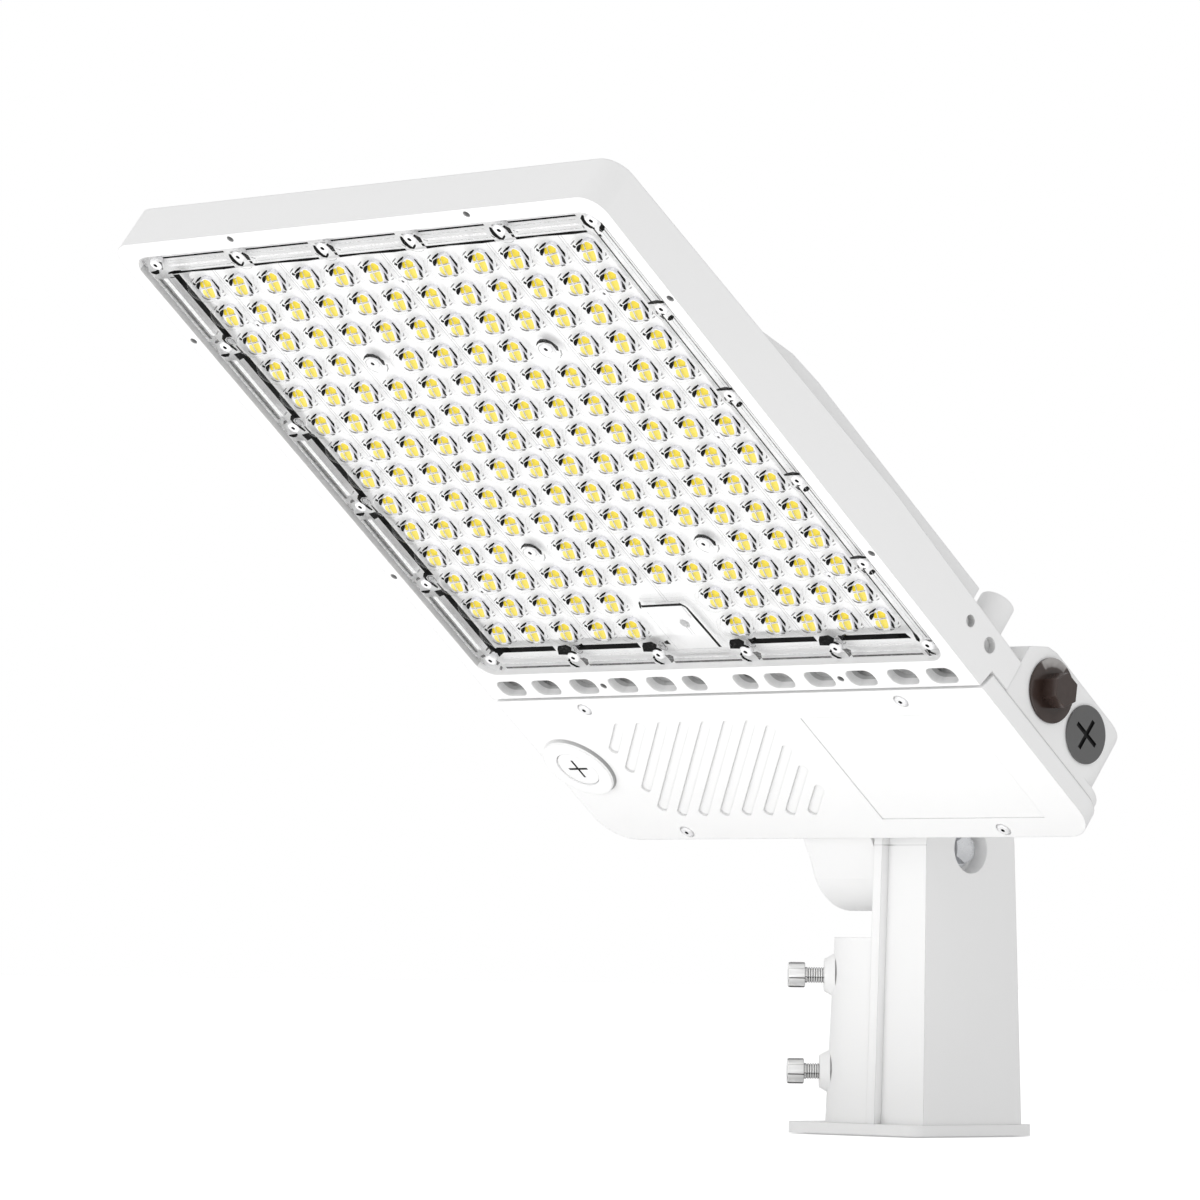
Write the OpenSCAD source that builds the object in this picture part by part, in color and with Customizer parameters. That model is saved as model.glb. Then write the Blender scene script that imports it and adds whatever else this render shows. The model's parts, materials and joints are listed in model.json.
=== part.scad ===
// Shoebox area light on a slip-fit arm: a die-cast head with an LED panel and a driver bay,
// which tilts on a bolted joint at the top of a cast arm that clamps onto a pole tenon.
// Units are millimetres. +Z runs up along the arm, +X along the tilt axis, and the head leans
// forward, towards -Y. The origin is the centre of the arm's base flange, at the mouth of its socket.

/* [Head] */
// Width of the head's rim beside the panel
rim_side = 8; // [6:0.5:14]
// Width of the head's rim ahead of the panel
rim_front = 9.5; // [8:0.5:16]
// Radius of the head's two front corners
front_corner_r = 12; // [6:1:20]
// Radius of the head's two rear corners
rear_corner_r = 19; // [12:1:26]
// Depth of the rim at the front edge, from the face to the back
front_depth = 24.5; // [22:0.5:28]
// Depth of the rim at its deepest place
crest_depth = 31.3; // [29:0.5:34]
// Depth of the driver bay, from the face to its back
bay_depth = 49.5; // [46:0.5:56]
// Thickness of the head's cast side walls
wall_t = 4; // [3:0.5:5]
// Thickness of the cast plate behind the LED board
spreader_t = 6; // [5.5:0.5:8]

/* [Tilt] */
// Lean of the head above level, in degrees
tilt = 38.4; // [0:0.1:90]
// Height of the tilt axis above the base flange
hinge_h = 145.5; // [125:0.5:170]
// Gap from the tilt axis to the rear edge of the head
hinge_gap = 41; // [41:0.5:48]
// Distance from the tilt axis down to the plane of the face
hinge_drop = 26.8; // [25:0.2:30]
// Radius of the head's round knuckle
knuckle_r = 31.7; // [30:0.1:33]
// Length of the knuckle along the tilt axis
knuckle_w = 49.2; // [46:0.1:54]
// Thickness of the sealing ring between knuckle and arm
joint_seal_t = 1.5; // [1:0.1:2]

/* [LED panel] */
// Distance between LED columns
col_pitch = 24; // [21:0.1:28]
// Distance between LED rows
row_pitch = 19.8; // [18:0.1:23]
// Distance from the outer LED columns to the sides of the panel's pocket
margin_x = 28; // [27:0.5:32]
// Distance from the outer LED rows to the ends of the panel's pocket
margin_y = 27.3; // [27:0.1:32]
// Corner radius of the pocket
pocket_r = 10; // [6:1:14]
// Depth of the lens plate's surface below the face
plate_set = 3.2; // [3:0.1:4]
// Thickness of the lens plate
plate_t = 2; // [1.6:0.1:2.4]
// Radius of one lens at its foot
lens_r = 8.2; // [7:0.1:9]
// Height of one lens above the plate
lens_h = 5; // [3:0.1:6]
// Edge length of one LED package
led_side = 7; // [5:0.5:8]
// Thickness of one LED package
led_t = 0.8; // [0.6:0.1:1.2]
// Thickness of the LED board
board_t = 1.4; // [1:0.1:2]

/* [Driver cover] */
// Length of the driver cover
cover_l = 113.5; // [112:0.5:116]
// Depth of the cover's side, from the face to the split
cover_depth = 10.9; // [9:0.1:12.5]
// Thickness of the cover
cover_t = 3; // [2.5:0.1:3.5]
// Gap between the frame's face and the cover
cover_gap = 1.8; // [1:0.1:2.4]
// Radius of the sensor boss on the cover
boss_r = 20.4; // [18:0.1:21]
// Height of the sensor boss above the cover
boss_h = 2.9; // [1:0.1:4]
// Radius of the plug in the sensor boss
port_plug_r = 12.2; // [11:0.1:13]
// Number of grooves in the cover
groove_count = 11; // [6:1:11]
// Depth of the grooves
groove_depth = 1.2; // [0.6:0.1:1.8]

/* [Side fittings] */
// Radius of the photocell's round base
photocell_r = 16; // [14:0.5:16]
// Radius over the corners of the photocell's hexagonal nose
photocell_nose_r = 7.9; // [6:0.1:9]
// Radius of the side plug
side_plug_r = 14.5; // [13:0.5:15]

/* [Heat sink] */
// Number of fins
fin_count = 19; // [11:2:21]
// Thickness of a fin
fin_t = 2.6; // [2:0.1:4]
// Width of a vent slot in the face
vent_l = 11.2; // [9.6:0.1:13]

/* [Arm] */
// Radius of the socket for the pole tenon
socket_r = 30.6; // [28:0.1:31]
// Thickness of the metal over the socket
socket_top_t = 5.9; // [4:0.1:10]
// Outer radius of the socket at the base flange
shell_r_low = 43.3; // [42:0.1:44]
// Outer radius of the socket at its top
shell_r_high = 39.4; // [38:0.1:41]
// Gap between the knuckle and the socket's round side
knuckle_clear = 13.9; // [4:0.1:16]
// Plane of the joint between knuckle and arm, from the middle of the tenon
joint_x = 8.7; // [7:0.1:10]
// Outer face of the arm at the tilt axis, from the middle of the tenon
arm_x_high = 40; // [39:0.1:42]
// Outer face of the arm at the base flange, from the middle of the tenon
arm_x_low = 43.4; // [42:0.1:44.5]
// Half depth of the arm's box at the tilt axis
arm_y_high = 33.6; // [33:0.1:34]
// Half depth of the arm's box at the base flange
arm_y_low = 37.4; // [36:0.1:39]
// Width of the raised rim beside the joint plane
rim_w = 5.6; // [4:0.1:7]
// Height of the raised rim above the box
rim_h = 5; // [3:0.1:5]
// Side of the square base flange
flange_w = 92; // [90:0.5:100]
// Thickness of the base flange
flange_t = 5.7; // [4:0.1:8]

/* [Set bolts] */
// Height of the lower pair of set bolts
bolt_low_h = 31.4; // [26:0.1:36]
// Distance of the upper pair of set bolts below the top of the socket's round side
bolt_top_in = 19.4; // [17:0.1:24]
// Radius of a set bolt's thread
bolt_r = 4; // [3:0.5:4]
// Radius of a set bolt's head
bolt_head_r = 6.5; // [5:0.1:7.5]
// Length of a set bolt's head
bolt_head_h = 8.6; // [6:0.1:10]
// Length of a set bolt's thread
bolt_l = 20; // [18:0.5:22]
// Distance from the middle of the tenon to the underside of a set bolt's head
bolt_reach = 54.4; // [53:0.1:57]

/* [Hidden] */
$fn = 64;

// Cuts run past the surfaces that they open by this much
over = 1;
// Free play round a piece that drops into a hole or pocket
play = 0.2;
// Free play round a turning or sliding shaft
running = 0.06;
// Steps in a quarter of a round corner of an outline
corner_steps = 8;
white_cast = [0.95, 0.95, 0.95];
steel = [0.75, 0.76, 0.78];
black_rubber = [0.08, 0.08, 0.08];

// The panel's pocket goes round the grid of LEDs, and the head goes round the pocket, the vents and the cover
led_cols = 12;
led_rows = 14;
pocket_w = (led_cols - 1) * col_pitch + 2 * margin_x;
pocket_l = (led_rows - 1) * row_pitch + 2 * margin_y;
tray_rib_t = 3.5;
vent_front_in = 1.8;
vent_rear_in = 2;
head_w = pocket_w + 2 * rim_side;
tray_l = rim_front + pocket_l + tray_rib_t + vent_front_in + vent_l + vent_rear_in;
head_l = tray_l + cover_l;
crest_share = 0.697;

// Planes of the head, measured from the tilt axis: -Y is towards the front, +Z towards the back
rear_y = -hinge_gap;
front_y = rear_y - head_l;
split_y = rear_y - cover_l;
face_z = -hinge_drop;
split_z = face_z + cover_depth;
bay_z = face_z + bay_depth;
panel_y = front_y + rim_front + pocket_l / 2;
pocket_rear_y = panel_y + pocket_l / 2;
crest_y = front_y + crest_share * tray_l;
crest_z = face_z + crest_depth;

// Layers of the panel, from the lens plate down to the cast seat
lens_z = face_z + plate_set;
plate_back_z = lens_z + plate_t;
led_gap = 0.2;
led_z = plate_back_z + led_gap;
board_z = led_z + led_t;
seat_z = board_z + board_t;
sink_z = seat_z + spreader_t;

// Driver bay
bay_inset = 1;
bay_w = head_w - 2 * bay_inset;
bay_wall = 5.5;
bay_back_t = 3.5;
bay_set_back = 8.5;
bay_rear_y = rear_y - bay_set_back;
bay_gap = 0.6;
bay_front_y = split_y - bay_gap;
bay_edge_r = 10;
ledge_l = 16.7;
ledge_depth = 27.9;
shoulder_y = bay_front_y + ledge_l;
shoulder_z = face_z + ledge_depth;
shoulder_rise = 11.1;
shoulder_lean = 10.5;
shoulder_run = 17.5;
shoulder_drop = 1.9;
gasket_t = 1.2;
notch_run = 2.3;
flange_lip_t = 4.5;
tight_r = 1;
bay_ceiling_z = bay_z - bay_back_t;
bay_half = bay_w / 2 - bay_wall;

// Socket
shell_h = hinge_h - knuckle_r - knuckle_clear;
socket_depth = shell_h - socket_top_t;
bolt_high_h = shell_h - bolt_top_in;

// Joint along the tilt axis
knuckle_x1 = joint_x - joint_seal_t;
knuckle_x0 = knuckle_x1 - knuckle_w;
chamber_r = 20;
hub_r = 9;
chamber_wall = 8;
hinge_r = 4;
hinge_hole_r = hinge_r + running;
hinge_recess_r = 12.4;
hinge_recess_depth = 10;
nut_recess_depth = 8;
hinge_head_r = 7.5;
hinge_head_h = 5.3;
washer_r = 9.7;
washer_t = 1.6;
nut_r = 7.5;
nut_h = 5.4;
joint_seal_wall = 6;

// A closed outline, anticlockwise: a rectangle of width w from y0 to y1 with corner radii r0 and r1
function quarter(cx, cy, r, from) =
    [for (i = [0:corner_steps]) [cx + r * cos(from + 90 * i / corner_steps), cy + r * sin(from + 90 * i / corner_steps)]];
function rounded(w, y0, y1, r0, r1) = concat(
    quarter(w / 2 - r1, y1 - r1, r1, 0),
    quarter(-w / 2 + r1, y1 - r1, r1, 90),
    quarter(-w / 2 + r0, y0 + r0, r0, 180),
    quarter(w / 2 - r0, y0 + r0, r0, 270));

// A flat slab with rounded corners, between two heights
module slab(w, y0, y1, r0, r1, z0, z1)
    translate([0, 0, z0])
        linear_extrude(z1 - z0)
            polygon(rounded(w, y0, y1, r0, r1));

// A frame between two rounded outlines, the inner one set in by wall
module slab_ring(w, y0, y1, r, wall, z0, z1)
    difference() {
        slab(w, y0, y1, r, r, z0, z1);
        slab(w - 2 * wall, y0 + wall, y1 - wall, r - wall / 2, r - wall / 2, z0 - over, z1 + over);
    }

// A profile of [y, z] points, drawn out along X
module along_x(profile, x0, x1)
    translate([x0, 0, 0])
        rotate([90, 0, 90])
            linear_extrude(x1 - x0)
                polygon(profile);

// A round bar along X
module bar_x(r, x0, x1, sides = $fn)
    translate([x0, 0, 0])
        rotate([0, 90, 0])
            cylinder(h = x1 - x0, r = r, $fn = sides);

// A round bar along Z
module bar_z(r, z0, z1, sides = $fn)
    translate([0, 0, z0])
        cylinder(h = z1 - z0, r = r, $fn = sides);

module block(x0, x1, y0, y1, z0, z1)
    translate([x0, y0, z0])
        cube([x1 - x0, y1 - y0, z1 - z0]);

// Puts a piece that is drawn round the tilt axis into its place on the arm, leaning back by the tilt
module on_tilt_axis()
    translate([0, 0, hinge_h])
        rotate([-tilt, 0, 0])
            children();

// A screw with its head towards the face and its thread towards the back, seated at z = 0
module face_screw(head_r, head_h, thread_r, thread_l, key_r) {
    difference() {
        bar_z(head_r, -head_h, 0);
        bar_z(key_r, -head_h - over, -head_h / 2, 6);
    }
    bar_z(thread_r, 0, thread_l);
}

// Places on the panel, counted in columns and rows of the grid
function col_x(c) = (c - (led_cols - 1) / 2) * col_pitch;
function row_y(r) = panel_y + (r - (led_rows - 1) / 2) * row_pitch;
centre_col_shares = [3, 8];
centre_row_shares = [3, 10];
tab_col_shares = [5, 6];
tab_row_share = 12;
board_col_shares = [0.5, 5.5, 10.5];
board_row_shares = [1.5, 6.5, 11.5];
function is_in(v, list) = len([for (e = list) if (e == v) e]) > 0;
function has_led(c, r) =
    !(is_in(c, centre_col_shares) && is_in(r, centre_row_shares)) && !(is_in(c, tab_col_shares) && r >= tab_row_share);
led_places = [for (r = [0:led_rows - 1], c = [0:led_cols - 1]) if (has_led(c, r)) [col_x(c), row_y(r)]];
centre_places = [for (r = centre_row_shares, c = centre_col_shares) [col_x(c), row_y(r)]];
// The screw that would fall under the tab's window is left out, and the middle one of the first row is a row forward
board_screw_places = [for (r = board_row_shares, c = board_col_shares)
    if (!(c == board_col_shares[1] && r == board_row_shares[2]))
        [col_x(c), row_y(c == board_col_shares[1] && r == board_row_shares[0] ? r - 1 : r)]];

edge_inset_x = 9;
edge_inset_y = 8.2;
edge_x = pocket_w / 2 - edge_inset_x;
edge_y = pocket_l / 2 - edge_inset_y;
edge_shares = [-1, -0.6, -0.2, 0.2, 0.6, 1];
edge_places = concat(
    [for (s = edge_shares, side = [-1, 1]) [s * edge_x, panel_y + side * edge_y]],
    [for (k = [1:4], side = [-1, 1]) [side * edge_x, panel_y + edge_shares[k] * edge_y]]);

// Screws of the panel
edge_head_r = 3.6;
edge_head_h = 2;
edge_seat = 1.2;
edge_thread_r = 1.75;
edge_thread_l = 6;
edge_key_r = 1.3;
centre_boss_r = 7;
centre_boss_h = 1.6;
board_head_r = 2.8;
board_head_h = 0.8;
board_thread_r = 1.25;
board_thread_l = 4.6;
board_key_r = 0.9;
board_margin = 8.8;
board_w = (led_cols - 1) * col_pitch + 2 * board_margin;
board_l = (led_rows - 1) * row_pitch + 2 * board_margin;
board_corner_r = 5;
seal_gap = 2.6;
seal_wall = 3.4;
seal_w = board_w + 2 * (seal_gap + seal_wall);
seal_l = board_l + 2 * (seal_gap + seal_wall);
plate_w = pocket_w - 2 * play;
plate_l = pocket_l - 2 * play;
plate_r = pocket_r - play;
tab_gap = 7;
tab_over = 5.4;
tab_w = 2 * col_pitch - tab_gap;
tab_l = 2 * row_pitch + tab_over;
tab_h = 1.4;
bar_gap_x = 11.4;
bar_gap_y = 10.1;
bar_wx = (edge_shares[1] - edge_shares[0]) * edge_x - bar_gap_x;
bar_wy = (edge_shares[1] - edge_shares[0]) * edge_y - bar_gap_y;
bar_l = 7;
bar_h = 1.6;

// Vents, webs and small holes of the housing, as shares of the head's half width
vent_shares = [0.1048, 0.2435, 0.4048, 0.5708, 0.7339, 0.8851];
web_shares = [0.4881, 0.81];
shield_share = 0.4881;
vent_land = 8.4;
inner_vent_cut = 3.5;
vent_w = (vent_shares[5] - vent_shares[0]) / 5 * head_w / 2 - vent_land;
inner_vent_w = vent_w - inner_vent_cut;
vent_r = 4.6;
vent_y = split_y - vent_rear_in - vent_l / 2;
web_t = 6.8;
shield_r = 1.9;
shield_depth = 6;
shield_x = shield_share * head_w / 2;
shield_side_in = 3;
shield_side_x = head_w / 2 - shield_side_in;
// Places of the side holes as shares of the panel's length, from its middle
shield_side_shares = [-0.312, 0.253];
shield_front_in = 3.4;
front_side_hole_r = 3;
rear_side_hole_r = 4;
front_side_hole_run = 24.3;
rear_side_hole_run = 6.5;
side_hole_depth = 19.3;
side_hole_z = face_z + side_hole_depth;
duct_w = 16;
duct_h = 10.5;
duct_r = 3;
duct_x = 0;
duct_foot = 8;
fin_side_in = 15.5;
fin_span = head_w - 2 * wall_t - 2 * fin_side_in;
fin_start_share = 0.32;
fin_run_shares = [0, 0.11, 0.18, 0.25];
fin_step_shares = [0, 0.79, 0.955, 1];
back_boss_r = 9;
back_boss_in = 22;
back_boss_x = head_w / 2 - back_boss_in;
back_boss_back = 3;
back_boss_y = bay_front_y + back_boss_back;
back_boss_top = 5.7;

tray_profile = [
    [front_y, face_z], [split_y, face_z], [split_y + notch_run, split_z], [shoulder_y, split_z],
    [shoulder_y, shoulder_z], [crest_y, crest_z], [front_y, face_z + front_depth]];

// The bay seen from the side, set in by t behind its walls and by lid at its back
function bay_profile(t, lid) = concat(
    [[bay_front_y + t, split_z - (t > 0 ? over : 0)],
    [bay_front_y + t, shoulder_z - lid],
    [shoulder_y + t, shoulder_z - lid],
    [shoulder_y + t, shoulder_z + shoulder_rise - lid],
    [shoulder_y + shoulder_lean + t / 2, bay_z - shoulder_drop - lid],
    [shoulder_y + shoulder_run + t / 2, bay_z - lid]],
    [for (i = [0:corner_steps])
        [bay_rear_y - t - bay_edge_r + bay_edge_r * sin(90 * i / corner_steps),
        bay_z - lid - bay_edge_r + bay_edge_r * cos(90 * i / corner_steps)]],
    [[bay_rear_y - t, split_z - (t > 0 ? over : 0)]]);

fin_profile = concat(
    [[front_y + fin_start_share * pocket_l, sink_z - over]],
    [for (i = [0:3])
        [front_y + (fin_start_share + fin_run_shares[i]) * pocket_l,
        sink_z + fin_step_shares[i] * (bay_z - sink_z)]],
    [[pocket_rear_y + tray_rib_t, bay_z], [pocket_rear_y + tray_rib_t, sink_z - over]]);

// Driver bay contents
surge_w = 26;
surge_l = 32;
surge_h = 20;
surge_in = 45.5;
surge_x = -bay_half + surge_in;
terminal_w = 14;
terminal_in = 30.5;
terminal_x = bay_half - terminal_in;
driver_ear = 9;
driver_ear_t = 3;
driver_ear_y = 18;
driver_l = 52;
driver_h = 30;
driver_clear = 0.6;
driver_side_clear = 5;
driver_x0 = surge_x + surge_w / 2 + driver_ear + driver_side_clear;
driver_x1 = terminal_x - terminal_w / 2 - driver_ear - driver_side_clear;
driver_w = driver_x1 - driver_x0;
driver_x = (driver_x0 + driver_x1) / 2;
driver_y = bay_rear_y - bay_wall - bay_edge_r - driver_clear - driver_l / 2;
small_head_r = 3.4;
small_head_h = 2;
small_thread_r = 1.9;
small_thread_l = 2.8;
small_key_r = 1.3;
terminal_l = 36;
terminal_h = 16;
terminal_y = bay_rear_y - bay_wall - bay_edge_r - driver_clear - terminal_l / 2;
connector_w = 16;
connector_l = 12;
connector_h = 0.8;
connector_row_share = 0.5;
connector_y = row_y(tab_row_share + connector_row_share);
lead_hole_r = 3;
lead_hole_clear = 1.5;
lead_hole_y = connector_y + connector_l / 2 + lead_hole_r + lead_hole_clear;

// Cover
cover_front_y = split_y + cover_gap;
cover_back_z = split_z - gasket_t;
cover_front_r = 1.5;
cover_screw_side_in = 58.7;
cover_screw_x = head_w / 2 - cover_screw_side_in;
cover_screw_front_in = 8.3;
cover_screw_rear_in = 6;
cover_screw_y = [cover_front_y + cover_screw_front_in, rear_y - cover_screw_rear_in];
rear_post_h = 18;
cover_post_r = 5.2;
cover_head_r = 4;
cover_head_h = 2;
cover_seat = 1.2;
cover_thread_r = 2;
cover_thread_l = 13;
cover_key_r = 1.5;
housing_post_r = 6;
boss_taper = 0.4;
boss_inset = 21.8;
boss_rear_in = 60;
boss_x = -(head_w / 2 - boss_inset);
boss_y = rear_y - boss_rear_in;
port_flange_t = 1.6;
port_sink = 0.6;
port_thread_r = 10;
port_thread_l = 10;
port_seal_t = 1.2;
port_nut_r = 14;
port_nut_t = 4;
port_slot_l = 13.4;
port_slot_w = 1.4;
port_slot_depth = 0.9;
groove_w = 5.4;
groove_pitch = 15.4;
label_w = 108;
label_l = 78;
label_depth = 0.5;
label_side_in = 25.8;
label_rear_in = 14.7;
label_x0 = head_w / 2 - label_side_in - label_w;
groove_label_gap = 23.2;
groove_boss_gap = 10.3;
groove_x0 = boss_x + boss_r + groove_boss_gap;
groove_box_w = label_x0 - groove_label_gap - groove_x0;
groove_box_l = 73.5;
groove_mid_x = groove_x0 + groove_box_w / 2;
groove_mid_in = 55.3;
groove_mid_y = rear_y - groove_mid_in;

// Side fittings, on the driver bay's right-hand wall
wall_x = bay_w / 2;
fitting_depth = 32;
photocell_in = 72.3;
side_plug_in = 39.4;
fitting_z = face_z + fitting_depth;
photocell_y = rear_y - photocell_in;
side_plug_y = rear_y - side_plug_in;
photocell_disc_t = 1.6;
photocell_cone_t = 2.4;
photocell_waist_r = 11;
photocell_nose_l = 5;
photocell_thread_r = 11;
photocell_thread_l = 12;
photocell_bore_r = 8;
fitting_nut_r = 13;
fitting_nut_t = 3;
fitting_seal_t = 1;
seal_in = 1;
cone_in = 1;
side_plug_t = 1.4;
side_thread_r = 10.5;
side_thread_l = 10;
side_slot_l = 16.8;
side_slot_w = 2.1;
side_slot_depth = 1;
breather_r = 8;
breather_t = 4;
breather_thread_r = 5;
breather_x = 60;

// Draws the four corners of a rectangle of places
module at_corners(x, ys)
    for (sx = [-x, x], y = ys)
        translate([sx, y, 0])
            children();

module at_places(places, z)
    for (p = places)
        translate([p[0], p[1], z])
            children();

module vent(w)
    slab(w, -vent_l / 2, vent_l / 2, vent_r, vent_r, face_z - over, face_z + web_t + over);

// The round knuckle and its neck, before it is bored; the neck meets the knuckle at these shares of its radius
neck_share = 0.37;
neck_rise_share = 0.93;
neck_in = 1;

module knuckle() {
    bar_x(knuckle_r, knuckle_x0, knuckle_x1);
    along_x([
        [bay_rear_y - over, split_z], [rear_y - neck_in, split_z],
        [-knuckle_r * neck_share, -knuckle_r * neck_rise_share], [-knuckle_r * neck_share, knuckle_r * neck_rise_share],
        [bay_rear_y - over, bay_z - bay_edge_r / 2]],
        knuckle_x0 + neck_in, knuckle_x1 - neck_in);
}

// Bores of the knuckle: the wiring chamber round its hub, the bolt's hole, the nut's recess and the lead's way
module knuckle_bores() {
    difference() {
        bar_x(chamber_r, knuckle_x0 + nut_recess_depth + chamber_wall, knuckle_x1 + over);
        bar_x(hub_r, knuckle_x0, knuckle_x1 + 2 * over);
    }
    bar_x(hinge_hole_r, knuckle_x0 - over, knuckle_x1 + over);
    bar_x(hinge_recess_r, knuckle_x0 - over, knuckle_x0 + nut_recess_depth);
    lead_way_r = 7;
    translate([(knuckle_x0 + knuckle_x1) / 2 + chamber_wall / 2, bay_rear_y - bay_wall - over, 0])
        rotate([-90, 0, 0])
            cylinder(h = bay_wall - bay_rear_y - hub_r, r = lead_way_r);
}

module housing() {
    color(white_cast) on_tilt_axis() {
        difference() {
            union() {
                intersection() {
                    slab(head_w, front_y, rear_y, front_corner_r, rear_corner_r, face_z, crest_z + over);
                    along_x(tray_profile, -head_w / 2 - over, head_w / 2 + over);
                }
                intersection() {
                    slab(bay_w, bay_front_y, bay_rear_y, tight_r, rear_corner_r, split_z, bay_z);
                    along_x(bay_profile(0, 0), -head_w / 2, head_w / 2);
                }
                for (side = [-1, 1])
                    translate([side * back_boss_x, back_boss_y, 0])
                        bar_z(back_boss_r, shoulder_z - bay_back_t, bay_z + back_boss_top);
                // lip that the cover closes against, behind the bay
                slab(bay_w, bay_rear_y - bay_wall - rear_corner_r, rear_y - bay_inset, tight_r, rear_corner_r,
                    split_z, split_z + flange_lip_t);
                // duct for the board's leads
                block(duct_x - duct_w / 2, duct_x + duct_w / 2, lead_hole_y - duct_foot, bay_front_y + over,
                    sink_z - over, sink_z + duct_h);
                // posts for the cover's rear screws
                for (side = [-1, 1])
                    translate([side * cover_screw_x, cover_screw_y[1], 0])
                        bar_z(housing_post_r, split_z, split_z + rear_post_h);
                knuckle();
            }
            // pocket of the panel
            slab(pocket_w, panel_y - pocket_l / 2, pocket_rear_y, pocket_r, pocket_r, face_z - over, seat_z);
            // open back behind the LED plate
            difference() {
                union() {
                    slab(head_w - 2 * wall_t, front_y + wall_t, pocket_rear_y, front_corner_r - wall_t / 2, tight_r,
                        sink_z, crest_z + 2 * over);
                    // open back behind the vents
                    block(-head_w / 2 + wall_t, head_w / 2 - wall_t, pocket_rear_y + tray_rib_t, bay_front_y,
                        face_z + web_t, crest_z + 2 * over);
                }
                block(duct_x - duct_w / 2, duct_x + duct_w / 2, lead_hole_y - duct_foot, bay_front_y + over,
                    sink_z - over, sink_z + duct_h);
            }
            // driver bay
            intersection() {
                slab(bay_w - 2 * bay_wall, bay_front_y + bay_wall, bay_rear_y - bay_wall, tight_r,
                    rear_corner_r - bay_wall, split_z - 2 * over, bay_z);
                along_x(bay_profile(bay_wall, bay_back_t), -head_w / 2, head_w / 2);
                // the front screws of the cover keep a post each
                difference() {
                    slab(bay_w, bay_front_y, bay_rear_y, tight_r, tight_r, split_z - 3 * over, bay_z);
                    for (side = [-1, 1])
                        translate([side * cover_screw_x, cover_screw_y[0], 0])
                            bar_z(housing_post_r, split_z - 4 * over, bay_z);
                }
            }
            at_corners(cover_screw_x, cover_screw_y)
                bar_z(cover_thread_r + running, split_z - over, split_z + cover_thread_l);
            // way of the board's leads, from under the board through the duct
            translate([duct_x, lead_hole_y, 0])
                bar_z(duct_r, seat_z - over, sink_z + duct_h / 2);
            translate([duct_x, lead_hole_y, sink_z + duct_h / 2])
                rotate([-90, 0, 0])
                    cylinder(h = bay_front_y + bay_wall - lead_hole_y + over, r = duct_r);
            knuckle_bores();
            for (side = [-1, 1], i = [0:len(vent_shares) - 1])
                translate([side * vent_shares[i] * head_w / 2, vent_y, 0])
                    vent(i == 0 ? inner_vent_w : vent_w);
            // tapped holes for a glare shield, in the face
            at_corners(shield_x, [front_y + shield_front_in, vent_y])
                bar_z(shield_r, face_z - over, face_z + shield_depth);
            at_corners(shield_side_x, [for (s = shield_side_shares) panel_y + s * pocket_l])
                bar_z(shield_r, face_z - over, face_z + shield_depth);
            // tapped holes in the right-hand side
            translate([0, bay_front_y - front_side_hole_run, side_hole_z])
                bar_x(front_side_hole_r, head_w / 2 - wall_t - over, head_w / 2 + over);
            translate([0, bay_front_y - rear_side_hole_run, side_hole_z])
                bar_x(rear_side_hole_r, head_w / 2 - wall_t - over, head_w / 2 + over);
            at_places(edge_places, seat_z)
                bar_z(edge_thread_r + running, -over, edge_thread_l - plate_t - edge_seat + over);
            at_places(centre_places, seat_z)
                bar_z(edge_thread_r + running, -over, edge_thread_l - plate_t - edge_seat + over);
            at_places(board_screw_places, seat_z)
                bar_z(board_thread_r + running, -over, board_thread_l - board_t + play);
            // fittings of the driver bay's wall
            translate([0, photocell_y, fitting_z])
                bar_x(photocell_thread_r + play, wall_x - bay_wall - over, wall_x + over);
            translate([0, side_plug_y, fitting_z])
                bar_x(side_thread_r + play, wall_x - bay_wall - over, wall_x + over);
            at_places(driver_screw_places, bay_ceiling_z)
                bar_z(small_thread_r + running, -over, small_thread_l - driver_ear_t + play + bay_back_t / 2);
            at_places(surge_screw_places, bay_ceiling_z)
                bar_z(small_thread_r + running, -over, bay_back_t / 2 + play);
            translate([breather_x, bay_rear_y - bay_wall - over, fitting_z])
                rotate([-90, 0, 0])
                    cylinder(h = bay_wall + 2 * over, r = breather_thread_r + play);
        }
        // fins and the webs that carry the bay
        for (i = [0:fin_count - 1])
            translate([(i / (fin_count - 1) - 0.5) * fin_span, 0, 0])
                along_x(fin_profile, -fin_t / 2, fin_t / 2);
        for (share = web_shares, side = [-1, 1])
            block(side * share * head_w / 2 - wall_t / 2, side * share * head_w / 2 + wall_t / 2,
                pocket_rear_y + tray_rib_t - over, bay_front_y + over, face_z + web_t - over, shoulder_z);
    }
}

driver_screw_places = [for (sx = [-1, 1], sy = [-1, 1])
    [driver_x + sx * (driver_w / 2 + driver_ear / 2), driver_y + sy * driver_ear_y]];
surge_screw_places = [for (sy = [-1, 1]) [surge_x, driver_y + sy * (surge_l / 2 + driver_ear / 2)]];

module led_board() {
    color([0.97, 0.97, 0.97]) on_tilt_axis()
        difference() {
            slab(board_w, panel_y - board_l / 2, panel_y + board_l / 2, board_corner_r, board_corner_r,
                board_z, seat_z);
            at_places(centre_places, 0)
                bar_z(edge_thread_r + over, board_z - over, seat_z + over);
            at_places(board_screw_places, 0)
                bar_z(board_thread_r + play, board_z - over, seat_z + over);
            translate([duct_x, lead_hole_y, 0])
                bar_z(lead_hole_r, board_z - over, seat_z + over);
        }
}

module led_chips() {
    color([0.98, 0.82, 0.2]) on_tilt_axis()
        for (p = led_places)
            block(p[0] - led_side / 2, p[0] + led_side / 2, p[1] - led_side / 2, p[1] + led_side / 2, led_z, board_z);
}

module board_screws() {
    color(steel) on_tilt_axis()
        at_places(board_screw_places, board_z)
            face_screw(board_head_r, board_head_h, board_thread_r, board_thread_l, board_key_r);
}

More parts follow.
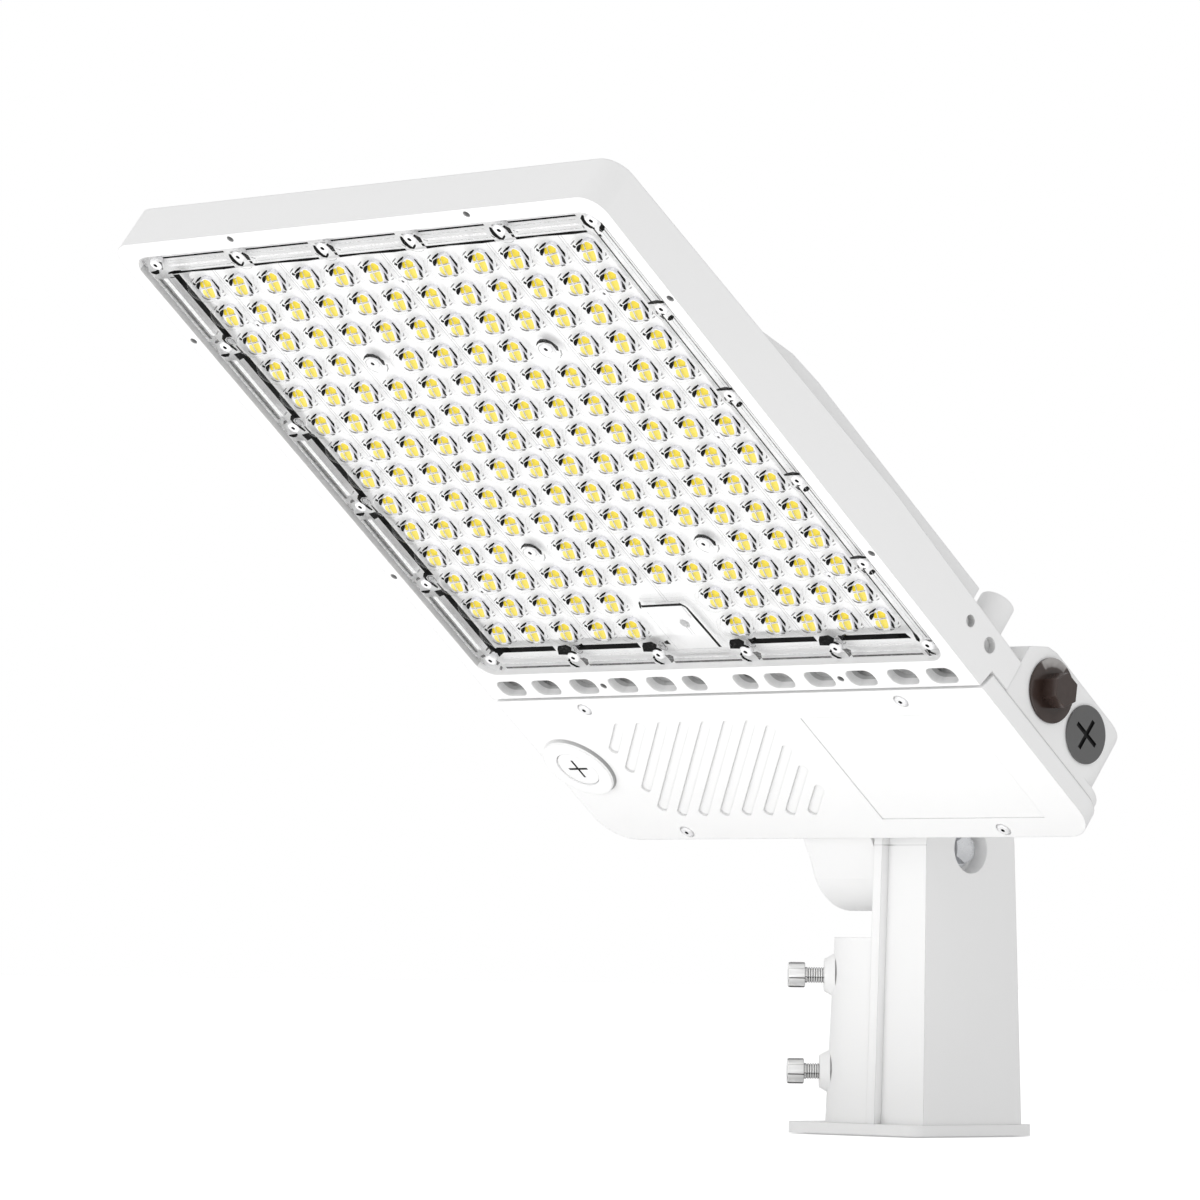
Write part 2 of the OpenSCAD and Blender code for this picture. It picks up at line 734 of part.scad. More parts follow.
module board_connector() {
    color([0.9, 0.9, 0.88]) on_tilt_axis()
        block(-connector_w / 2, connector_w / 2, connector_y - connector_l / 2, connector_y + connector_l / 2,
            board_z - connector_h, board_z);
}

module lens_plate() {
    lens_ball_r = (lens_r * lens_r + lens_h * lens_h) / (2 * lens_h);
    color([0.85, 0.92, 0.97, 0.45]) on_tilt_axis()
        difference() {
            union() {
                slab(plate_w, panel_y - plate_l / 2, panel_y + plate_l / 2, plate_r, plate_r, lens_z, plate_back_z);
                // foot round the seal, down to the cast seat
                difference() {
                    slab(plate_w, panel_y - plate_l / 2, panel_y + plate_l / 2, plate_r, plate_r,
                        plate_back_z - over, seat_z);
                    slab(seal_w + 2 * play, panel_y - seal_l / 2 - play, panel_y + seal_l / 2 + play,
                        board_corner_r, board_corner_r, plate_back_z - 2 * over, seat_z + over);
                }
                intersection() {
                    slab(plate_w, panel_y - plate_l / 2, panel_y + plate_l / 2, plate_r, plate_r,
                        lens_z - lens_h - over, lens_z + plate_t / 2);
                    at_places(led_places, lens_z - lens_h + lens_ball_r)
                        sphere(r = lens_ball_r);
                }
                at_places(centre_places, 0)
                    bar_z(centre_boss_r, lens_z - centre_boss_h, lens_z + plate_t / 2);
                block(-tab_w / 2, tab_w / 2, pocket_rear_y - tab_l, pocket_rear_y - edge_inset_y - edge_head_r - over,
                    lens_z - tab_h, lens_z + plate_t / 2);
                // raised bars between the edge screws
                for (k = [0:4], side = [-1, 1]) {
                    mid_share = (edge_shares[k] + edge_shares[k + 1]) / 2;
                    block(mid_share * edge_x - bar_wx / 2, mid_share * edge_x + bar_wx / 2,
                        panel_y + side * edge_y - bar_l / 2, panel_y + side * edge_y + bar_l / 2,
                        lens_z - bar_h, lens_z + plate_t / 2);
                    block(side * edge_x - bar_l / 2, side * edge_x + bar_l / 2,
                        panel_y + mid_share * edge_y - bar_wy / 2, panel_y + mid_share * edge_y + bar_wy / 2,
                        lens_z - bar_h, lens_z + plate_t / 2);
                }
            }
            at_places(edge_places, lens_z) {
                bar_z(edge_head_r + play, -bar_h - over, edge_seat);
                bar_z(edge_thread_r + play, 0, seat_z - lens_z + over);
            }
            at_places(centre_places, lens_z) {
                bar_z(edge_head_r + play, -centre_boss_h - over, edge_seat);
                bar_z(edge_thread_r + play, 0, plate_t + over);
            }
        }
}

module lens_gasket() {
    color(black_rubber) on_tilt_axis()
        slab_ring(seal_w, panel_y - seal_l / 2, panel_y + seal_l / 2, board_corner_r, seal_wall,
            plate_back_z, seat_z);
}

module lens_edge_screws() {
    color(steel) on_tilt_axis()
        at_places(edge_places, lens_z + edge_seat)
            face_screw(edge_head_r, edge_head_h, edge_thread_r,
                seat_z - lens_z - edge_seat + edge_thread_l - plate_t - edge_seat, edge_key_r);
}

module lens_centre_screws() {
    color(steel) on_tilt_axis()
        at_places(centre_places, lens_z + edge_seat)
            face_screw(edge_head_r, edge_head_h, edge_thread_r,
                seat_z - lens_z - edge_seat + edge_thread_l - plate_t - edge_seat, edge_key_r);
}

// One groove: the line x + y = sum from the middle of the grooved area, ended by the area's box
module groove(sum) {
    x1 = min((groove_box_w - groove_w) / 2, sum + (groove_box_l - groove_w) / 2);
    x0 = max((groove_w - groove_box_w) / 2, sum - (groove_box_l - groove_w) / 2);
    translate([x0, sum - x0, face_z - over])
        rotate([0, 0, -45])
            linear_extrude(groove_depth + over)
                polygon(concat(
                    quarter((x1 - x0) * sqrt(2), 0, groove_w / 2, -90), quarter((x1 - x0) * sqrt(2), 0, groove_w / 2, 0),
                    quarter(0, 0, groove_w / 2, 90), quarter(0, 0, groove_w / 2, 180)));
}

module driver_cover() {
    color(white_cast) on_tilt_axis()
        difference() {
            union() {
                intersection() {
                    slab(head_w, cover_front_y, rear_y, cover_front_r, rear_corner_r, face_z, cover_back_z);
                    along_x([[cover_front_y, face_z - over], [cover_front_y, face_z],
                        [cover_front_y + notch_run, cover_back_z], [cover_front_y + notch_run, cover_back_z + over],
                        [rear_y + over, cover_back_z + over], [rear_y + over, face_z - over]], -head_w, head_w);
                }
                translate([boss_x, boss_y, face_z - boss_h])
                    cylinder(h = boss_h + over, r1 = boss_r - boss_taper, r2 = boss_r + boss_taper);
            }
            difference() {
                slab(head_w - 2 * cover_t, cover_front_y + notch_run + cover_t, rear_y - cover_t, tight_r,
                    rear_corner_r - cover_t, face_z + cover_t, cover_back_z + over);
                at_corners(cover_screw_x, cover_screw_y)
                    bar_z(cover_post_r, face_z, cover_back_z + 2 * over);
            }
            at_corners(cover_screw_x, cover_screw_y) {
                bar_z(cover_head_r + play, face_z - over, face_z + cover_seat);
                bar_z(cover_thread_r + play, face_z, cover_back_z + over);
            }
            translate([boss_x, boss_y, face_z - boss_h]) {
                bar_z(port_plug_r + play, -over, port_sink + port_flange_t + port_seal_t);
                bar_z(port_thread_r + play, 0, boss_h + cover_t + over);
            }
            translate([groove_mid_x, groove_mid_y, 0])
                for (i = [0:groove_count - 1])
                    groove((i - (groove_count - 1) / 2) * groove_pitch);
            block(label_x0, label_x0 + label_w, rear_y - label_rear_in - label_l, rear_y - label_rear_in,
                face_z - over, face_z + label_depth);
        }
}

module cover_gasket() {
    color(black_rubber) on_tilt_axis()
        difference() {
            slab(bay_w, cover_front_y + notch_run, rear_y - bay_inset, cover_front_r, rear_corner_r - bay_inset,
                cover_back_z, split_z);
            slab(bay_w - 2 * cover_t, cover_front_y + notch_run + cover_t, rear_y - bay_inset - cover_t, tight_r,
                rear_corner_r - cover_t, cover_back_z - over, split_z + over);
        }
}

module cover_screws() {
    color(steel) on_tilt_axis()
        at_corners(cover_screw_x, cover_screw_y)
            translate([0, 0, face_z + cover_seat])
                face_screw(cover_head_r, cover_head_h, cover_thread_r,
                    split_z - face_z - cover_seat + cover_thread_l - over, cover_key_r);
}

module cross_slot(length, width, z0, z1)
    for (turn = [0, 90])
        rotate([0, 0, turn])
            block(-length / 2, length / 2, -width / 2, width / 2, z0, z1);

module sensor_port_plug() {
    top_z = port_sink;
    color(white_cast) on_tilt_axis()
        translate([boss_x, boss_y, face_z - boss_h])
            difference() {
                union() {
                    bar_z(port_plug_r, top_z, top_z + port_flange_t);
                    bar_z(port_thread_r, top_z, top_z + port_flange_t + port_thread_l);
                }
                cross_slot(port_slot_l, port_slot_w, top_z - over, top_z + port_slot_depth);
            }
}

module sensor_port_seal() {
    color(black_rubber) on_tilt_axis()
        translate([boss_x, boss_y, face_z - boss_h + port_sink + port_flange_t])
            difference() {
                bar_z(port_plug_r, 0, port_seal_t);
                bar_z(port_thread_r + running, -over, port_seal_t + over);
            }
}

module sensor_port_nut() {
    color([0.2, 0.2, 0.2]) on_tilt_axis()
        translate([boss_x, boss_y, face_z + cover_t])
            difference() {
                bar_z(port_nut_r, 0, port_nut_t, 6);
                bar_z(port_thread_r + running, -over, port_nut_t + over);
            }
}

module led_driver() {
    color([0.8, 0.81, 0.83]) on_tilt_axis()
        difference() {
            union() {
                block(driver_x - driver_w / 2, driver_x + driver_w / 2, driver_y - driver_l / 2, driver_y + driver_l / 2,
                    bay_ceiling_z - driver_h, bay_ceiling_z);
                block(driver_x - driver_w / 2 - driver_ear, driver_x + driver_w / 2 + driver_ear,
                    driver_y - driver_l / 2, driver_y + driver_l / 2, bay_ceiling_z - driver_ear_t, bay_ceiling_z);
            }
            at_places(driver_screw_places, bay_ceiling_z)
                bar_z(small_thread_r + play, -driver_ear_t - over, over);
        }
}

module driver_screws() {
    color(steel) on_tilt_axis()
        at_places(driver_screw_places, bay_ceiling_z - driver_ear_t)
            face_screw(small_head_r, small_head_h, small_thread_r, driver_ear_t + bay_back_t / 2, small_key_r);
}

module surge_protector() {
    color([0.15, 0.15, 0.16]) on_tilt_axis()
        difference() {
            union() {
                block(surge_x - surge_w / 2, surge_x + surge_w / 2, driver_y - surge_l / 2, driver_y + surge_l / 2,
                    bay_ceiling_z - surge_h, bay_ceiling_z);
                block(surge_x - surge_w / 4, surge_x + surge_w / 4, driver_y - surge_l / 2 - driver_ear,
                    driver_y + surge_l / 2 + driver_ear, bay_ceiling_z - driver_ear_t, bay_ceiling_z);
            }
            at_places(surge_screw_places, bay_ceiling_z)
                bar_z(small_thread_r + play, -driver_ear_t - over, over);
        }
}

module surge_screws() {
    color(steel) on_tilt_axis()
        at_places(surge_screw_places, bay_ceiling_z - driver_ear_t)
            face_screw(small_head_r, small_head_h, small_thread_r, driver_ear_t + bay_back_t / 2, small_key_r);
}

terminal_ways = 3;
terminal_screw_r = 2.6;
terminal_screw_h = 2;
terminal_screw_sink = 0.6;
terminal_slot_w = 0.6;
terminal_slot_depth = 0.8;
ground_clear = 6;
function terminal_way_y(i) = terminal_y + (i - (terminal_ways - 1) / 2) * terminal_l / terminal_ways;

module terminal_block() {
    color([0.9, 0.88, 0.8]) on_tilt_axis()
        difference() {
            block(terminal_x - terminal_w / 2, terminal_x + terminal_w / 2, terminal_y - terminal_l / 2,
                terminal_y + terminal_l / 2, bay_ceiling_z - terminal_h, bay_ceiling_z);
            for (i = [0:terminal_ways - 1])
                translate([terminal_x, terminal_way_y(i), bay_ceiling_z - terminal_h])
                    bar_z(terminal_screw_r + play, -over, terminal_screw_h);
        }
}

module terminal_screws() {
    color([0.8, 0.7, 0.35]) on_tilt_axis()
        for (i = [0:terminal_ways - 1])
            translate([terminal_x, terminal_way_y(i), bay_ceiling_z - terminal_h])
                difference() {
                    bar_z(terminal_screw_r, terminal_screw_sink, terminal_screw_h);
                    block(-terminal_screw_r - over, terminal_screw_r + over, -terminal_slot_w / 2, terminal_slot_w / 2,
                        -over, terminal_screw_sink + terminal_slot_depth);
                }
}

ground_x = terminal_x;
ground_y = terminal_y - terminal_l / 2 - ground_clear;

module ground_screw() {
    color([0.2, 0.6, 0.3]) on_tilt_axis()
        translate([ground_x, ground_y, bay_ceiling_z])
            difference() {
                bar_z(small_head_r, -small_head_h, 0, 6);
                bar_z(small_key_r, -small_head_h - over, -small_head_h / 2, 6);
            }
}

module on_side_wall(y)
    translate([wall_x, y, fitting_z])
        children();

module photocell_window() {
    color([0.25, 0.19, 0.17]) on_tilt_axis()
        on_side_wall(photocell_y)
            difference() {
                union() {
                    bar_x(photocell_r, fitting_seal_t, fitting_seal_t + photocell_disc_t);
                    translate([fitting_seal_t + photocell_disc_t, 0, 0])
                        rotate([0, 90, 0])
                            cylinder(h = photocell_cone_t, r1 = photocell_r - cone_in, r2 = photocell_waist_r);
                    bar_x(photocell_nose_r, fitting_seal_t + photocell_disc_t,
                        fitting_seal_t + photocell_disc_t + photocell_cone_t + photocell_nose_l, 6);
                    bar_x(photocell_thread_r, -photocell_thread_l, fitting_seal_t + photocell_disc_t);
                }
                bar_x(photocell_bore_r, -photocell_thread_l - over, 0);
            }
}

module photocell_sensor() {
    color([0.7, 0.3, 0.15]) on_tilt_axis()
        on_side_wall(photocell_y)
            bar_x(photocell_bore_r - play, -photocell_thread_l / 2, 0);
}

module fitting_ring(outer, inner, x0, x1, sides = $fn)
    difference() {
        bar_x(outer, x0, x1, sides);
        bar_x(inner, x0 - over, x1 + over);
    }

module photocell_seal() {
    color(black_rubber) on_tilt_axis()
        on_side_wall(photocell_y)
            fitting_ring(photocell_r - seal_in, photocell_thread_r + running, 0, fitting_seal_t);
}

module photocell_nut() {
    color([0.2, 0.2, 0.2]) on_tilt_axis()
        on_side_wall(photocell_y)
            fitting_ring(fitting_nut_r, photocell_thread_r + running, -bay_wall - fitting_nut_t, -bay_wall, 6);
}

module side_port_plug() {
    color([0.55, 0.56, 0.57]) on_tilt_axis()
        on_side_wall(side_plug_y)
            difference() {
                union() {
                    bar_x(side_plug_r, fitting_seal_t, fitting_seal_t + side_plug_t);
                    bar_x(side_thread_r, -side_thread_l, fitting_seal_t + side_plug_t);
                }
                for (turn = [0, 90])
                    rotate([turn, 0, 0])
                        block(fitting_seal_t + side_plug_t - side_slot_depth, fitting_seal_t + side_plug_t + over,
                            -side_slot_l / 2, side_slot_l / 2, -side_slot_w / 2, side_slot_w / 2);
            }
}

module side_port_seal() {
    color(black_rubber) on_tilt_axis()
        on_side_wall(side_plug_y)
            fitting_ring(side_plug_r - seal_in, side_thread_r + running, 0, fitting_seal_t);
}

module side_port_nut() {
    color([0.2, 0.2, 0.2]) on_tilt_axis()
        on_side_wall(side_plug_y)
            fitting_ring(fitting_nut_r, side_thread_r + running, -bay_wall - fitting_nut_t, -bay_wall, 6);
}

module breather_plug() {
    color([0.15, 0.15, 0.15]) on_tilt_axis()
        translate([breather_x, bay_rear_y, fitting_z])
            rotate([-90, 0, 0]) {
                bar_z(breather_r, 0, breather_t, 6);
                bar_z(breather_thread_r, -bay_wall, 0);
            }
}

module joint_seal() {
    color(black_rubber)
        translate([0, 0, hinge_h])
            fitting_ring(chamber_r + joint_seal_wall, chamber_r, knuckle_x1, joint_x);
}

// Directions of the two columns of set bolts, seen from above
front_column = 225;
rear_column = 135;

// Places a piece on the middle of a set bolt, its +X pointing out of the arm
module on_bolt(column, height)
    translate([0, 0, height])
        rotate([0, 0, column])
            children();

bolt_boss_r = 8.3;
bolt_boss_foot_r = 11.3;
bolt_boss_h = 4.4;
function shell_r(z) = shell_r_low + (shell_r_high - shell_r_low) * z / shell_h;

module arm_shape() {
    // box half beside the joint plane
    intersection() {
        along_x([[-arm_y_low, 0], [arm_y_low, 0], [arm_y_high, hinge_h], [-arm_y_high, hinge_h]],
            joint_x, arm_x_low + over);
        rotate([90, 0, 0])
            linear_extrude(2 * arm_y_low + 2 * over, center = true)
                polygon([[joint_x, 0], [arm_x_low, 0], [arm_x_high, hinge_h], [joint_x, hinge_h]]);
    }
    translate([0, 0, hinge_h])
        bar_x(arm_y_high, joint_x, arm_x_high);
    // raised rim
    along_x([[-arm_y_low - rim_h, 0], [arm_y_low + rim_h, 0], [arm_y_high + rim_h, hinge_h], [-arm_y_high - rim_h, hinge_h]],
        joint_x, joint_x + rim_w);
    translate([0, 0, hinge_h])
        bar_x(arm_y_high + rim_h, joint_x, joint_x + rim_w);
    // round half of the socket
    intersection() {
        cylinder(h = shell_h, r1 = shell_r_low, r2 = shell_r_high);
        block(-flange_w / 2, joint_x + rim_w / 2, -flange_w / 2, flange_w / 2, 0, shell_h);
    }
    for (column = [front_column, rear_column], height = [bolt_low_h, bolt_high_h])
        on_bolt(column, height)
            translate([shell_r(height) - over, 0, 0])
                rotate([0, 90, 0])
                    cylinder(h = bolt_boss_h + over, r1 = bolt_boss_foot_r, r2 = bolt_boss_r);
    flange_r = 8;
    slab(flange_w, -flange_w / 2, flange_w / 2, flange_r, flange_r, 0, flange_t);
}

module mounting_arm() {
    recess_x = arm_x_high - hinge_recess_depth;
    color(white_cast)
        difference() {
            arm_shape();
            bar_z(socket_r, -over, socket_depth);
            for (column = [front_column, rear_column], height = [bolt_low_h, bolt_high_h])
                on_bolt(column, height)
                    bar_x(bolt_r + running, socket_r / 2, bolt_reach);
            translate([0, 0, hinge_h]) {
                difference() {
                    bar_x(chamber_r, joint_x - over, recess_x - wall_t);
                    bar_x(hub_r, joint_x - 2 * over, recess_x);
                }
                bar_x(hinge_hole_r, joint_x - over, recess_x + over);
                bar_x(hinge_recess_r, recess_x, arm_x_low + over);
            }
            // way for the supply leads, from the socket to the joint's chamber
            block(joint_x + rim_w, recess_x - wall_t, -hub_r, hub_r, socket_depth - over, hinge_h - hub_r - wall_t);
        }
}

module hinge_bolt() {
    head_x = arm_x_high - hinge_recess_depth + washer_t;
    tip_out = 0.5;
    tip_x = knuckle_x0 + nut_recess_depth - washer_t - nut_h - tip_out;
    color(steel)
        translate([0, 0, hinge_h]) {
            bar_x(hinge_head_r, head_x, head_x + hinge_head_h, 6);
            bar_x(hinge_r, tip_x, head_x);
        }
}

module hinge_washer() {
    head_x = arm_x_high - hinge_recess_depth;
    color(steel)
        translate([0, 0, hinge_h])
            fitting_ring(washer_r, hinge_hole_r, head_x, head_x + washer_t);
}

module nut_washer() {
    seat_x = knuckle_x0 + nut_recess_depth;
    color(steel)
        translate([0, 0, hinge_h])
            fitting_ring(washer_r, hinge_hole_r, seat_x - washer_t, seat_x);
}

module hinge_nut() {
    seat_x = knuckle_x0 + nut_recess_depth - washer_t;
    color(steel)
        translate([0, 0, hinge_h])
            fitting_ring(nut_r, hinge_hole_r, seat_x - nut_h, seat_x, 6);
}

module set_bolt(column, height) {
    key_r = 3.4;
    color(steel)
        on_bolt(column, height) {
            difference() {
                bar_x(bolt_head_r, bolt_reach, bolt_reach + bolt_head_h);
                bar_x(key_r, bolt_reach + bolt_head_h / 2, bolt_reach + bolt_head_h + over, 6);
            }
            bar_x(bolt_r, bolt_reach - bolt_l, bolt_reach);
        }
}

module set_bolt_upper_front() { set_bolt(front_column, bolt_high_h); }
module set_bolt_lower_front() { set_bolt(front_column, bolt_low_h); }
module set_bolt_upper_rear() { set_bolt(rear_column, bolt_high_h); }
module set_bolt_lower_rear() { set_bolt(rear_column, bolt_low_h); }

housing();
led_board();
led_chips();
board_screws();
board_connector();
lens_plate();
lens_gasket();
lens_edge_screws();
lens_centre_screws();
driver_cover();
cover_gasket();
cover_screws();
sensor_port_plug();
sensor_port_seal();
sensor_port_nut();
led_driver();
driver_screws();
surge_protector();
surge_screws();
terminal_block();
terminal_screws();
ground_screw();
photocell_window();
photocell_sensor();
photocell_seal();
photocell_nut();
side_port_plug();
side_port_seal();
side_port_nut();
breather_plug();
joint_seal();
mounting_arm();
hinge_bolt();
hinge_washer();
nut_washer();
hinge_nut();
set_bolt_upper_front();
set_bolt_lower_front();
set_bolt_upper_rear();
set_bolt_lower_rear();
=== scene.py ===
# %% [markdown]
# # Shoebox area light
# A white die-cast lamp head with 160 LEDs behind a clear lens plate tilts on a cast arm,
# and the arm clamps onto a pole tenon with set bolts. The measured solids are loaded first,
# as a fixed frame. Each step then gives a piece the edges, the fine shapes and the finish
# of the real one.

# %% Load the frame
import json
import math
import bmesh
import bpy
from mathutils import Matrix, Vector


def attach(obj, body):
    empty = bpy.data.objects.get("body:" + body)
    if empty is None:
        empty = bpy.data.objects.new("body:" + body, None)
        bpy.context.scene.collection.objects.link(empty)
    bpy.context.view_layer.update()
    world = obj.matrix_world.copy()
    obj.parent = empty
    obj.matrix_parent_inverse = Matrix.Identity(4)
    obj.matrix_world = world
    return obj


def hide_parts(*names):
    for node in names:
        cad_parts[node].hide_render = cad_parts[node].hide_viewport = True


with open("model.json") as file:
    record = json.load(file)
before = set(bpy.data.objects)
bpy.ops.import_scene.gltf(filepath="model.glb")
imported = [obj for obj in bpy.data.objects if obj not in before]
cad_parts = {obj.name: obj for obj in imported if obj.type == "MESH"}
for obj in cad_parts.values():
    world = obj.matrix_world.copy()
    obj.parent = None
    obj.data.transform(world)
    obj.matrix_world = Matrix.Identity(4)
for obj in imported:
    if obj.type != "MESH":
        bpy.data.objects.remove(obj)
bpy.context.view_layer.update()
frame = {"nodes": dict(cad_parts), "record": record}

# %% [markdown]
# ## Places on the leaning head
# The head's own directions are easy to work in: x across it, y towards its rear edge, and z
# away from the lit face, all from the tilt axis. One matrix turns such a place, written in
# millimetres, into the model's frame. The arm stands upright, so its places need no turning.

# %% The head's frame
LEAN, HINGE_HEIGHT, MM = 38.4, 145.5, 0.001
head_to_model = (Matrix.Translation((0, 0, HINGE_HEIGHT * MM))
                 @ Matrix.Rotation(math.radians(-LEAN), 4, "X") @ Matrix.Scale(MM, 4))
arm_to_model = Matrix.Scale(MM, 4)
FACE, PANEL_MIDDLE = -26.8, -329.0
PLATE_TOP = FACE + 3.2
print("lit face centre:", head_to_model @ Vector((0, PANEL_MIDDLE, FACE)))

# %% [markdown]
# ## Shader sums in plain Python
# A procedural finish is mostly sums on sockets. A Wave wraps a socket, so that an ordinary
# expression such as `1 - mask * 0.5` builds its Math nodes. A Tree makes any other node from
# its type, its settings and what goes into its sockets. A Finish is the tree of a material.

# %% Sums, trees and finishes
class Wave:
    """A socket of a tree. Each sum on it is a Math node in that tree."""

    def __init__(self, home, socket):
        self.home = home
        self.socket = socket

    def sum_with(self, operation, *others):
        inputs = {"_" + str(number): value for number, value in enumerate(others)}
        made = self.home.node("ShaderNodeMath", {"operation": operation}, **inputs)
        return Wave(self.home, made.outputs[0])

    def __add__(self, other): return self.sum_with("ADD", self, other)
    def __radd__(self, other): return self.sum_with("ADD", other, self)
    def __sub__(self, other): return self.sum_with("SUBTRACT", self, other)
    def __rsub__(self, other): return self.sum_with("SUBTRACT", other, self)
    def __mul__(self, other): return self.sum_with("MULTIPLY", self, other)
    def __rmul__(self, other): return self.sum_with("MULTIPLY", other, self)
    def __abs__(self): return self.sum_with("ABSOLUTE", self)
    def above(self, limit): return self.sum_with("GREATER_THAN", self, limit)
    def below(self, limit): return self.sum_with("LESS_THAN", self, limit)
    def larger(self, other): return self.sum_with("MAXIMUM", self, other)
    def power(self, other): return self.sum_with("POWER", self, other)


class Tree:
    """A node tree and the calls that add nodes to it."""

    def __init__(self, tree):
        self.tree = tree

    def node(self, kind, settings=(), **values):
        """A new node; a value's key is its socket's name, or its number after a low line."""
        made = self.tree.nodes.new(kind)
        for key, value in dict(settings).items():
            setattr(made, key, value)
        for key, value in values.items():
            number = key[1:]
            self.feed(made.inputs[int(number) if number.isdigit() else key.replace("_", " ")], value)
        return made

    def feed(self, place, value):
        if isinstance(value, Wave):
            self.tree.links.new(value.socket, place)
        elif hasattr(value, "links"):
            self.tree.links.new(value, place)
        else:
            place.default_value = value

    def wave(self, socket):
        return Wave(self, socket)

    def waves(self, vector):
        parts = self.node("ShaderNodeSeparateXYZ", Vector=vector).outputs
        return [self.wave(parts[axis]) for axis in "XYZ"]


class Finish(Tree):
    """One material: its shader and the calls that colour it."""

    def __init__(self, name, **settings):
        self.material = bpy.data.materials.new(name)
        self.material.use_nodes = True
        super().__init__(self.material.node_tree)
        self.shader = self.tree.nodes["Principled BSDF"]
        for socket, value in settings.items():
            self.shader.inputs[socket.replace("_", " ")].default_value = value

    def place(self):
        """The spot on the object, in metres."""
        return self.node("ShaderNodeTexCoord").outputs["Object"]

    def mark_tone(self):
        """The number called tone that the mesh carries at its corners."""
        return self.wave(self.node("ShaderNodeAttribute", {"attribute_name": "tone"}).outputs["Fac"])

    def noise(self, scale, detail=2.0, stretch=None):
        spot = self.place()
        if stretch:
            spot = self.node("ShaderNodeMapping", Vector=spot, Scale=stretch).outputs[0]
        made = self.node("ShaderNodeTexNoise", Vector=spot, Scale=scale, Detail=detail)
        return self.wave(made.outputs["Fac"])

    def tones(self, factor, *stops):
        """A ramp over factor; each stop is a position and a colour, or a position and a grey."""
        ramp = self.tree.nodes.new("ShaderNodeValToRGB")
        while len(ramp.color_ramp.elements) < len(stops):
            ramp.color_ramp.elements.new(0.5)
        for element, (position, color) in zip(ramp.color_ramp.elements, stops):
            element.position = position
            element.color = (*([color] * 3 if isinstance(color, float) else color), 1)
        self.feed(ramp.inputs[0], factor)
        return ramp.outputs[0]

    def bump(self, height, distance, strength, **values):
        made = self.node("ShaderNodeBump", Height=height, Distance=distance, Strength=strength, **values)
        self.feed(self.shader.inputs["Normal"], made.outputs[0])

    def color(self, value):
        self.feed(self.shader.inputs["Base Color"], value)

    def rough(self, value):
        self.feed(self.shader.inputs["Roughness"], value)


print("shader helpers ready")

# %% [markdown]
# ## Powder coat
# The castings are sprayed with white powder and baked. The coat flows into a skin with a very
# shallow orange-peel texture, and it rounds every edge: a Bevel node in the material does that
# without touching the mesh. Its colour hardly varies; the shade in vents, slots and corners is
# painted: an Ambient Occlusion node darkens the tone there.

# %% White castings
EDGE_ROUNDING, PEEL_DEPTH = 0.8, 0.06


def powder_coat(name, shade, reach=10.0):
    """The coat; shade changes how much painted shade each spot gets before that becomes a tone."""
    coat = Finish(name, Specular_IOR_Level=0.4)
    cloud = coat.noise(14.0, 3.0)
    peel = coat.noise(900.0)
    # Painted shade: where the Ambient Occlusion node finds walls close by, the tone ramp turns darker.
    open_air = coat.node("ShaderNodeAmbientOcclusion", {"samples": 6, "only_local": True},
                         Distance=reach * MM)
    painted_shade = shade(coat, 1 - coat.wave(open_air.outputs["AO"])) + (cloud - 0.5) * 0.04
    coat.color(coat.tones(painted_shade, (0.1, 0.93), (0.3, 0.8556), (0.58, 0.465), (0.95, 0.279)))
    coat.rough(0.42 + cloud * 0.1 + peel * 0.06)
    rounded = coat.node("ShaderNodeBevel", {"samples": 6}, Radius=EDGE_ROUNDING * MM)
    coat.bump(peel, PEEL_DEPTH * MM, 0.25, Normal=rounded.outputs[0])
    return coat.material


def head_waves(coat):
    """A spot's x, y and z in the leaning head's directions, in metres."""
    from_hinge = coat.node("ShaderNodeVectorMath", {"operation": "SUBTRACT"},
                           _0=coat.place(), _1=(0, 0, HINGE_HEIGHT * MM))
    turned = coat.node("ShaderNodeMapping", Vector=from_hinge.outputs[0],
                       Rotation=(math.radians(LEAN), 0, 0))
    return coat.waves(turned.outputs[0])


def between(length, low, high):
    """One where a length in metres lies between two numbers of millimetres, else nought."""
    return length.above(low * MM) * length.below(high * MM)


def near(length, middle, reach):
    """One where a length is within reach of the middle, both in millimetres."""
    return abs(length - middle * MM).below(reach * MM)


POCKET_X, POCKET_Y, POCKET_FLOOR, WALL_SKIN = 160.0, 156.0, -15.0, 0.4
VENT_Y, VENT_HALF, VENT_DEEP = -162.1, 6.2, -22.5


def pocket_and_vents(coat, painted_shade):
    """Painted shade: little in the shallow pocket under the plate, more on its left wall and in the vents.
    """
    x, y, z = head_waves(coat)
    y_panel = y - PANEL_MIDDLE * MM
    behind_plate = z.below(PLATE_TOP * MM)
    in_pocket = near(x, 0, POCKET_X + 0.1) * near(y_panel, 0, POCKET_Y + 0.1)
    under_plate = in_pocket * between(z, PLATE_TOP, POCKET_FLOOR)
    rear_wall = near(y_panel, POCKET_Y, WALL_SKIN) * behind_plate
    left_wall = near(x, -POCKET_X, WALL_SKIN) * near(y_panel, 0, POCKET_Y - 1) * behind_plate
    in_vents = near(y, VENT_Y, VENT_HALF) * near(x, 0, POCKET_X) * between(z, FACE + 0.6, 10.0)
    # Painted shade in the vents, darker further in.
    vents = in_vents * (0.12 + z.above(VENT_DEEP * MM) * 0.34)
    return painted_shade * (1 - under_plate * 0.8) * (1 - rear_wall * 0.6) + left_wall * 0.36 + vents


BOSS_X, BOSS_Y, BOSS_RADIUS, BOSS_FOOT = -146.2, -101.0, 20.5, -28.4


